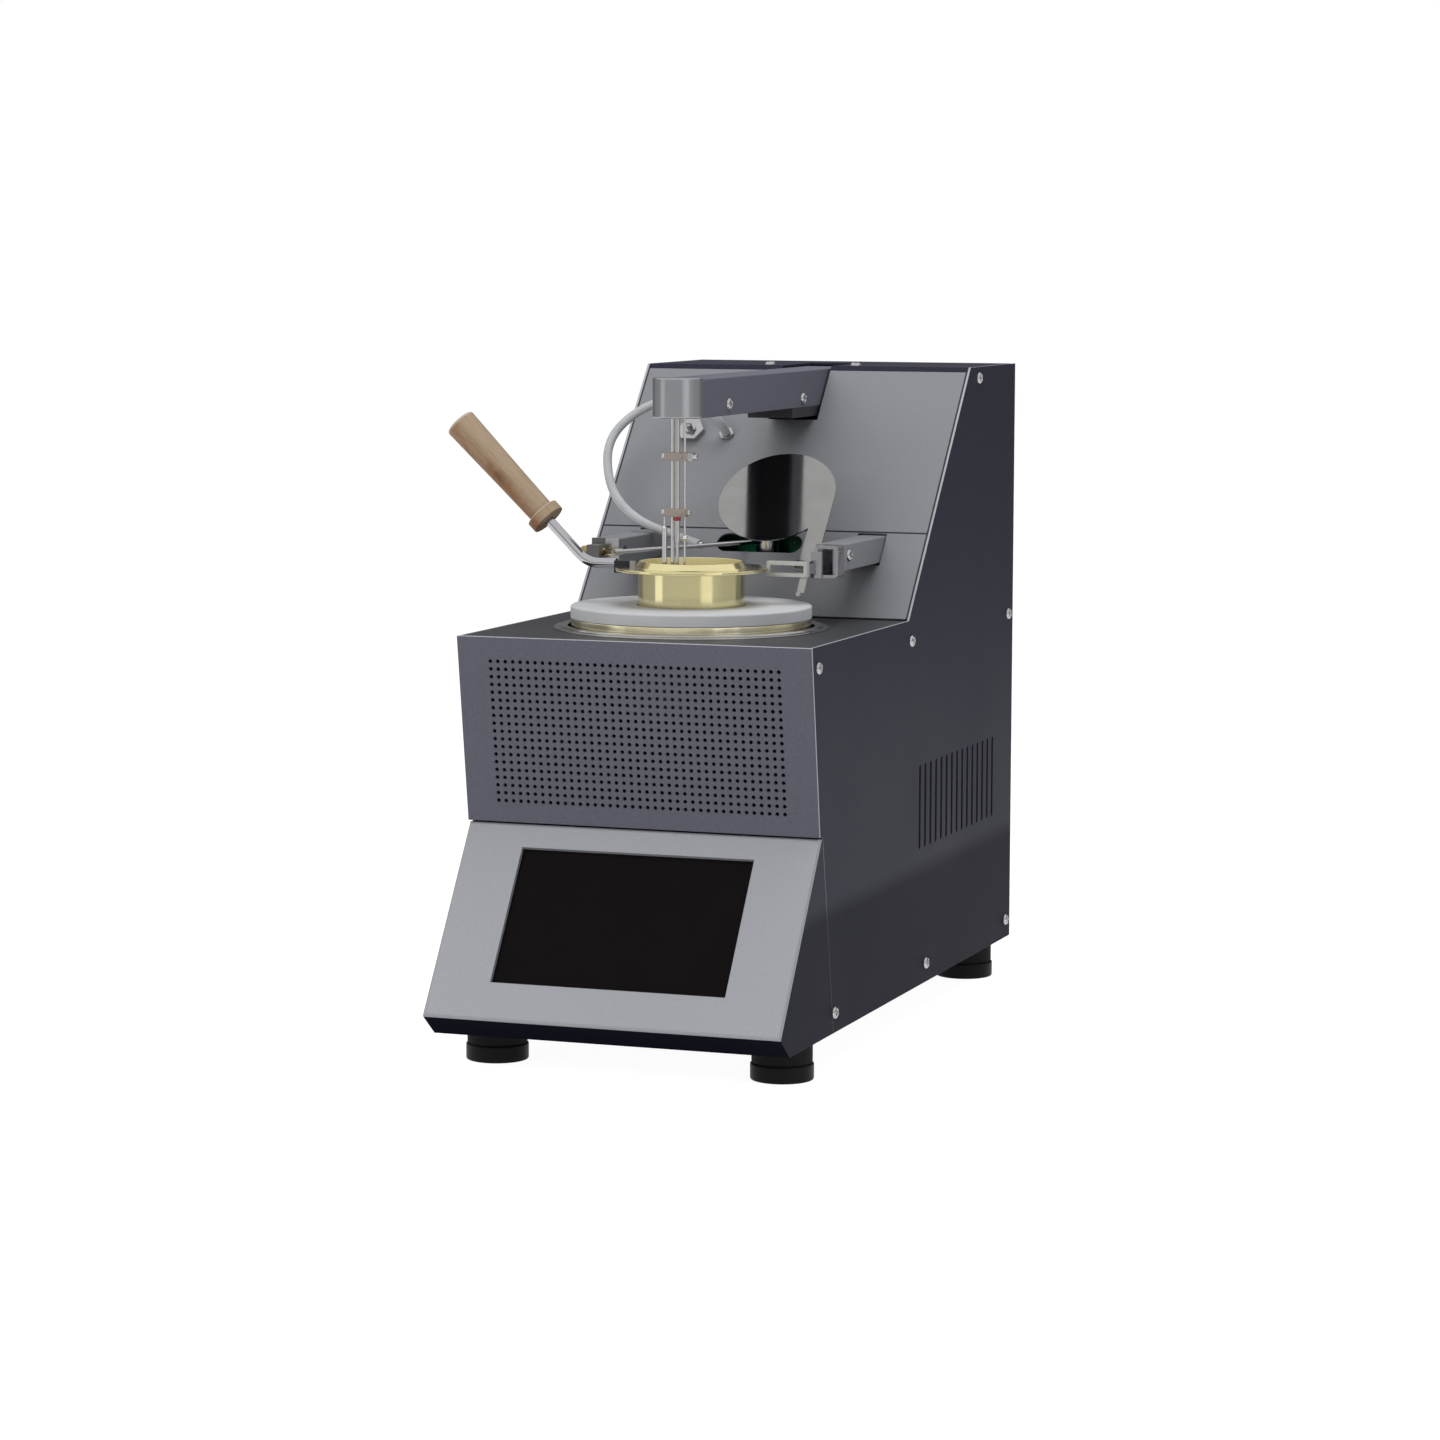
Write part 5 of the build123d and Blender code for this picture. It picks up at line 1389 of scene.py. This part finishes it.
@dataclass
class Heater:
    """The stainless well, the brass heating plate and the white board under the cup."""

    shop: Workshop
    deck: float = 244.9
    plate_top: float = 251.6

    def build(self) -> None:
        """Turn the three rings with softly broken edges."""
        place = Matrix.Translation((*CUP_CENTRE, 0))
        deck, top = self.deck, self.plate_top
        well = [
            (0, deck - 50, 0), (80.2, deck - 50, 2), (80.2, deck, 0), (88.0, deck, 0),
            (88.0, deck + 0.8, 0.4), (84.6, deck + 1.3, 0.5), (83.6, deck + 2.2, 0.6),
            (79.6, deck + 2.2, 0.7), (79.0, deck + 1.4, 0.4), (79.0, deck - 48.8, 1), (0, deck - 48.8, 0),
        ]
        plate = [(0, top - 12, 0), (76.8, top - 12, 0.5), (76.8, top, 0.7), (0, top, 0)]
        disc = [
            (34.7, top, 0), (77.1, top, 0.4), (77.1, top + 7.95, 1.4), (34.7, top + 7.95, 0.4),
            (34.7, top, 0),
        ]
        for name, outline, finish, node, steps in (
            ("well_turned", well, WELL_STEEL, "heater_well", 4),
            ("plate_turned", plate, PLATE_BRASS, "heating_plate", 4),
            ("disc_turned", disc, WHITE_BOARD, "insulating_disc", 5),
        ):
            self.shop.turned(name, outline, place, finish, "cabinet", [node], steps=steps)


@dataclass
class TestCup:
    """The brass test cup and its wooden-gripped handle."""

    shop: Workshop
    foot: float = 251.6
    seat_gap: float = 0.03
    grip_foot: Point3 = (-97.817, -117.7, 311.017)
    grip_run: Point3 = (-0.70711, 0.0, 0.70711)

    def build(self) -> None:
        """Turn the cup and the grip."""
        low = self.foot
        cup = [
            (0, low + self.seat_gap, 0), (34.0, low + self.seat_gap, 0.6), (34.0, low + 29.8, 0.8),
            (48.5, low + 29.8, 0.5), (48.5, low + 31.8, 0.6), (36.0, low + 31.8, 0.8),
            (33.4, low + 35.8, 0.4), (31.75, low + 35.8, 0.4), (31.75, low + 2.8, 3.0), (0, low + 2.8, 0),
        ]
        grip = [
            (0, 28.7, 0), (3.32, 28.7, 0), (3.32, 0, 0.4), (11.6, 0, 0.7), (11.6, 7.0, 0.6), (8.45, 7.0, 0.5),
            (9.1, 40, 60.0), (10.35, 87.9, 1.4), (0, 87.9, 0),
        ]
        centre = Matrix.Translation((*CUP_CENTRE, 0))
        lean = facing(self.grip_foot, self.grip_run)
        self.shop.turned("cup_turned", cup, centre, CUP_BRASS, "cup", ["cup"])
        self.shop.turned("grip_turned", grip, lean, WOOD, "cup", ["handle_grip"], segments=96)


@dataclass
class Louvres:
    """The pressed hoods behind the side panels' louvre slots."""

    shop: Workshop
    middle: Point2 = (89.0, 119.5)
    pitch: float = 12.3
    count: int = 15
    half_length: float = 28.5
    skin: float = 115.25
    outline: tuple[Point2, ...] = ((0.0, -2.6), (0.0, -1.7), (-2.9, 3.4), (-3.6, 3.0))

    def build(self) -> None:
        """One row of hoods on each side, as one piece each."""
        for side, sign in (("left", -1), ("right", 1)):
            shape = bmesh.new()
            for index in range(self.count):
                y = self.middle[0] + (index - (self.count - 1) / 2) * self.pitch
                low, high = (
                    [
                        shape.verts.new((sign * (self.skin + dx) * MM, (y + dy) * MM, z * MM))
                        for dx, dy in self.outline
                    ]
                    for z in (self.middle[1] - self.half_length, self.middle[1] + self.half_length)
                )
                shape.faces.new(low)
                shape.faces.new(high)
                bridge(shape, low, high)
            name = f"louvre_hoods_{side}"
            self.shop.piece(name, finished(shape, name), CASE_DARK, "cabinet")


@dataclass
class FanFilter:
    """The dark foam pad on the inner face of the fan, which stops the view through the cabinet."""

    shop: Workshop
    seat: Point3 = (48.0, 197.6, 72.0)
    radius: float = 39.0
    thickness: float = 2.4

    def build(self) -> None:
        """One round pad, facing into the cabinet."""
        outline = [
            (0, 0, 0), (self.radius, 0, 0.3), (self.radius, self.thickness, 0.6), (0, self.thickness, 0),
        ]
        place = facing(self.seat, (0.0, -1.0, 0.0))
        self.shop.turned("fan_filter", outline, place, FILTER_FOAM, "cabinet", segments=64, steps=4)


@dataclass
class ProbeClamps:
    """The two clamps that hold the rods together: a pair of plates, a cross screw and two round heads."""

    shop: Workshop
    middle_y: float = -140.0
    depth: float = 6.4
    slit: float = 0.5
    set_back: float = 0.3
    clamps: tuple[tuple[float, float, float, float], ...] = (
        (352.5, 357.5, -11.7, 12.0), (317.0, 322.0, -11.9, 7.5),
    )
    bridge_ends: Point2 = (-7.0, 4.6)
    bridge_proud: float = 0.2
    left_button: Point2 = (1.9, 2.2)
    right_button: Point2 = (2.1, 2.4)
    cross_screw: Point2 = (1.7, 0.6)
    screw_spot: Point2 = (1.6, 0.4)

    def block(self, low: Point3, high: Point3, bevel: float) -> bpy.types.Mesh:
        """A block with broken edges.

        Args:
            low: Its lowest corner, in millimetres.
            high: Its highest corner, in millimetres.
            bevel: How much its edges are broken, in millimetres.

        Returns:
            The mesh.
        """
        shape = bmesh.new()
        corners = [
            shape.verts.new((x * MM, y * MM, z * MM))
            for z in (low[2], high[2])
            for y in (low[1], high[1])
            for x in (low[0], high[0])
        ]
        for face in ((0, 2, 3, 1), (4, 5, 7, 6), (0, 1, 5, 4), (2, 6, 7, 3), (0, 4, 6, 2), (1, 3, 7, 5)):
            shape.faces.new([corners[index] for index in face])
        bmesh.ops.bevel(
            shape, geom=list(shape.edges), offset=bevel * MM, segments=3, profile=0.5, affect="EDGES",
            clamp_overlap=True,
        )
        return finished(shape, "block")

    def button(self, spot: Point3, outward: Point3, size: Point2) -> bpy.types.Mesh:
        """A round head with a domed end.

        Args:
            spot: The middle of its seat, in millimetres.
            outward: Where it faces.
            size: Its radius and its height, in millimetres.

        Returns:
            The mesh.
        """
        radius, rise = size
        outline = [(0, -1, 0), (radius, -1, 0), (radius, rise, 0.45 * min(radius, rise)), (0, rise, 0)]
        return self.shop.lathe("button", self.shop.round_corners(outline, 5), facing(spot, outward), 32)

    def build(self) -> None:
        """Both clamps as one piece of the head."""
        meshes: list[bpy.types.Mesh] = []
        middle, near, far = self.middle_y, self.middle_y - self.depth / 2, self.middle_y + self.depth / 2
        front, back = near + self.set_back, far - self.set_back
        proud, (bridge_left, bridge_right) = self.bridge_proud, self.bridge_ends
        for low, high, left, right in self.clamps:
            level = (low + high) / 2
            start, end = left + self.left_button[1], right - self.right_button[1]
            screw = (self.screw_spot[0], near, level + self.screw_spot[1])
            meshes += [
                self.block((start, front, low), (end, middle - self.slit, high), 0.5),
                self.block((start, middle + self.slit, low), (end, far, high), 0.5),
                self.block((bridge_left, near, low - proud), (bridge_right, back, high + proud), 0.6),
                self.button((start, middle, level), (-1, 0, 0), self.left_button),
                self.button((end, middle, level), (1, 0, 0), self.right_button),
                self.button(screw, (0, -1, 0), self.cross_screw),
            ]
        mesh = self.shop.joined("clamps_machined", meshes)
        self.shop.piece("clamps_machined", mesh, ALLOY, "head", ["probe_clamps"])


@dataclass
class GasHose:
    """The milky hose from the barb on the sloping face to the swinging flame tube."""

    shop: Workshop
    radius: float = 3.0 * MM
    bore: float = 2.25 * MM
    segments: int = 28
    curve_order: int = 3
    curve_steps: int = 10
    route: tuple[Point3, ...] = (
        (-44.0, 71.232, 360.488), (-44.0, 62.576, 367.906), (-58.5, 59.0, 381.0), (-73.7, 53.0, 383.6),
        (-88.8, 47.0, 380.2), (-100.4, 41.0, 373.0), (-108.9, 35.0, 364.0), (-112.6, 29.0, 354.7),
        (-112.4, 23.0, 343.7), (-107.2, 15.0, 327.4), (-97.1, 7.0, 315.0), (-83.5, 0.0, 306.2),
        (-68.0, -9.0, 300.6), (-45.35, -21.8, 295.95), (-27.4, -27.3, 291.23),
    )

    def centreline(self) -> list[Vector]:
        """The hose's smooth line, read from a curve through the route.

        Returns:
            Its points.
        """
        curve = bpy.data.curves.new("hose line", "CURVE")
        curve.dimensions = "3D"
        spline = curve.splines.new("NURBS")
        spline.points.add(len(self.route) - 1)
        for point, spot in zip(spline.points, self.route):
            point.co = (*[value * MM for value in spot], 1.0)
        spline.order_u = self.curve_order
        spline.use_endpoint_u = True
        spline.resolution_u = self.curve_steps
        holder = placed("hose line", curve)
        bpy.context.view_layer.update()
        held = holder.evaluated_get(bpy.context.evaluated_depsgraph_get())
        line = bpy.data.meshes.new_from_object(held)
        points = [vertex.co.copy() for vertex in line.vertices]
        bpy.data.objects.remove(holder)
        return points

    def build(self) -> None:
        """The tube, bending between the cabinet and the flame arm."""
        path = self.centreline()
        mesh = self.shop.tube("hose_soft", path, self.radius, self.bore, self.segments)
        hose = self.shop.piece("hose_soft", mesh, HOSE, None, ["gas_hose"], crease=60)
        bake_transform(hose)


@dataclass(frozen=True)
class Lamp:
    """A rectangular soft lamp: its place, size, power in watts, light, and whether metal mirrors it."""

    name: str
    spot: Point3
    size: Point2
    power: float
    colour: Colour
    mirrored: bool = True


@dataclass(frozen=True)
class Card:
    """A standing grey card: its start and end in degrees right of the camera, brightness and height."""

    start: float
    end: float
    level: float
    top: float


@dataclass
class Studio:
    """Camera, lamps, floor and background."""

    eye: Point3 = (0.917714, -2.631252, 0.489027)
    right: Point3 = (0.941591, 0.336747, 0.002758)
    up: Point3 = (-0.040553, 0.105252, 0.993618)
    back: Point3 = (0.334307, -0.935694, 0.11276)
    lens: float = 105.1134
    sensor: float = 36.0
    far_clip: float = 50.0
    bench: float = -23.5 * MM
    floor_drop: float = 0.2 * MM
    floor_half: float = 9.0
    floor_tone: Colour = (0.80, 0.80, 0.80)
    floor_glow: float = 1.3
    floor_share: float = 0.72
    room_tone: Colour = (0.93, 0.95, 1.0)
    room_light: float = 0.42
    aim: Point3 = (0.0, 0.0, 0.2)
    lamps: tuple[Lamp, ...] = (
        Lamp("front softbox", (-1.1, -2.4, 1.5), (1.9, 1.5), 42.0, (1.0, 0.985, 0.96), mirrored=False),
        Lamp("right strip", (2.4, -0.9, 1.0), (0.6, 1.8), 8.0, (0.96, 0.98, 1.0)),
        Lamp("top softbox", (0.5, 0.1, 2.6), (2.2, 1.8), 52.0, (1.0, 1.0, 1.0), mirrored=False),
    )
    card_centre: Point2 = (0.0, -0.1)
    card_radius: float = 2.3
    card_step: float = 6.0
    facing_camera: float = 19.2
    cards: tuple[Card, ...] = (
        Card(-64.0, 21.0, 0.52, 0.85), Card(46.0, 112.0, 0.43, 1.7), Card(112.0, 232.0, 0.18, 1.7),
        Card(232.0, 277.0, 0.40, 0.85),
    )

    def camera(self) -> None:
        """The photograph's viewpoint."""
        data = bpy.data.cameras.new("camera")
        data.lens = self.lens
        data.sensor_width = self.sensor
        data.clip_end = self.far_clip
        camera = placed("camera", data)
        turn = Matrix((self.right, self.up, self.back)).transposed().to_4x4()
        camera.matrix_world = Matrix.Translation(Vector(self.eye)) @ turn
        bpy.context.scene.camera = camera

    def hang(self, plan: Lamp) -> None:
        """Hang a lamp that faces the tester.

        Args:
            plan: The lamp's numbers.
        """
        data = bpy.data.lights.new(plan.name, "AREA")
        data.shape = "RECTANGLE"
        data.size, data.size_y = plan.size
        data.energy = plan.power
        data.color = plan.colour
        lamp = placed(plan.name, data)
        turn = (Vector(plan.spot) - Vector(self.aim)).to_track_quat("Z", "Y").to_matrix().to_4x4()
        lamp.matrix_world = Matrix.Translation(Vector(plan.spot)) @ turn
        lamp.visible_glossy = plan.mirrored

    def stand(self, plan: Card) -> None:
        """Stand a card round the tester that only polished metal shows.

        Args:
            plan: The card's numbers.
        """
        shape = bmesh.new()
        sweep = plan.end - plan.start
        steps = max(2, round(sweep / self.card_step))
        columns = []
        for step in range(steps + 1):
            turn = math.radians(self.facing_camera + plan.start + sweep * step / steps)
            x = self.card_centre[0] + self.card_radius * math.sin(turn)
            y = self.card_centre[1] - self.card_radius * math.cos(turn)
            columns.append([shape.verts.new((x, y, z)) for z in (self.bench, plan.top)])
        for before, after in zip(columns, columns[1:]):
            shape.faces.new((before[0], after[0], after[1], before[1]))
        mesh = finished(shape, "card", outward=False)
        card = placed("card", mesh)
        sheet = ShaderSheet("grey card")
        glow = sheet.node("ShaderNodeEmission", Color=(1, 1, 1, 1), Strength=plan.level)
        sheet.show(glow.outputs["Emission"])
        mesh.materials.append(sheet.material)
        card.visible_camera = False
        card.visible_diffuse = False
        card.visible_transmission = False
        card.visible_shadow = False

    def floor(self) -> None:
        """A pale floor that keeps the tester's shadow and looks white to the camera."""
        shape = bmesh.new()
        bmesh.ops.create_grid(shape, x_segments=1, y_segments=1, size=self.floor_half)
        mesh = finished(shape, "floor", outward=False)
        floor = placed("floor", mesh)
        floor.location = (0, 0, self.bench - self.floor_drop)
        sheet = ShaderSheet("pale floor")
        sheet.constant(Base_Color=self.floor_tone, Roughness=0.9, Specular_IOR_Level=0.1)
        glow = sheet.node("ShaderNodeEmission", Color=(1, 1, 1, 1), Strength=self.floor_glow)
        share = sheet.calculate("MULTIPLY", sheet.directly_seen(), self.floor_share)
        sheet.show(sheet.mixed(share, sheet.shader.outputs["BSDF"], glow.outputs["Emission"]))
        mesh.materials.append(sheet.material)

    def background(self) -> None:
        """A white background for the camera and a softer pale room for the light."""
        world = bpy.data.worlds.new("studio")
        world.use_nodes = True
        world.node_tree.nodes.clear()
        sheet = NodeSheet(world.node_tree)
        white = sheet.node("ShaderNodeBackground", Color=(1, 1, 1, 1), Strength=1.0)
        room = sheet.node("ShaderNodeBackground", Color=(*self.room_tone, 1), Strength=self.room_light)
        both = sheet.mixed(sheet.directly_seen(), room.outputs["Background"], white.outputs["Background"])
        sheet.join(both, sheet.node("ShaderNodeOutputWorld").inputs["Surface"])
        bpy.context.scene.world = world

    def build(self) -> None:
        """Set up the whole studio."""
        self.camera()
        self.floor()
        self.background()
        for card in self.cards:
            self.stand(card)
        for lamp in self.lamps:
            self.hang(lamp)
        bpy.context.scene.view_settings.view_transform = "Standard"


def main() -> None:
    """Build the studio and every piece in order."""
    logging.basicConfig(level=logging.INFO, format="%(name)s: %(message)s")
    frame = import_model()
    Studio().build()
    shop = Workshop()
    Cabinet(frame["nodes"]).dress()
    GasHose(shop).build()
    Heater(shop).build()
    TestCup(shop).build()
    Screws(shop).build()
    Feet(shop).build()
    ProbeClamps(shop).build()
    Louvres(shop).build()
    FanFilter(shop).build()


if __name__ == "__main__":
    main()
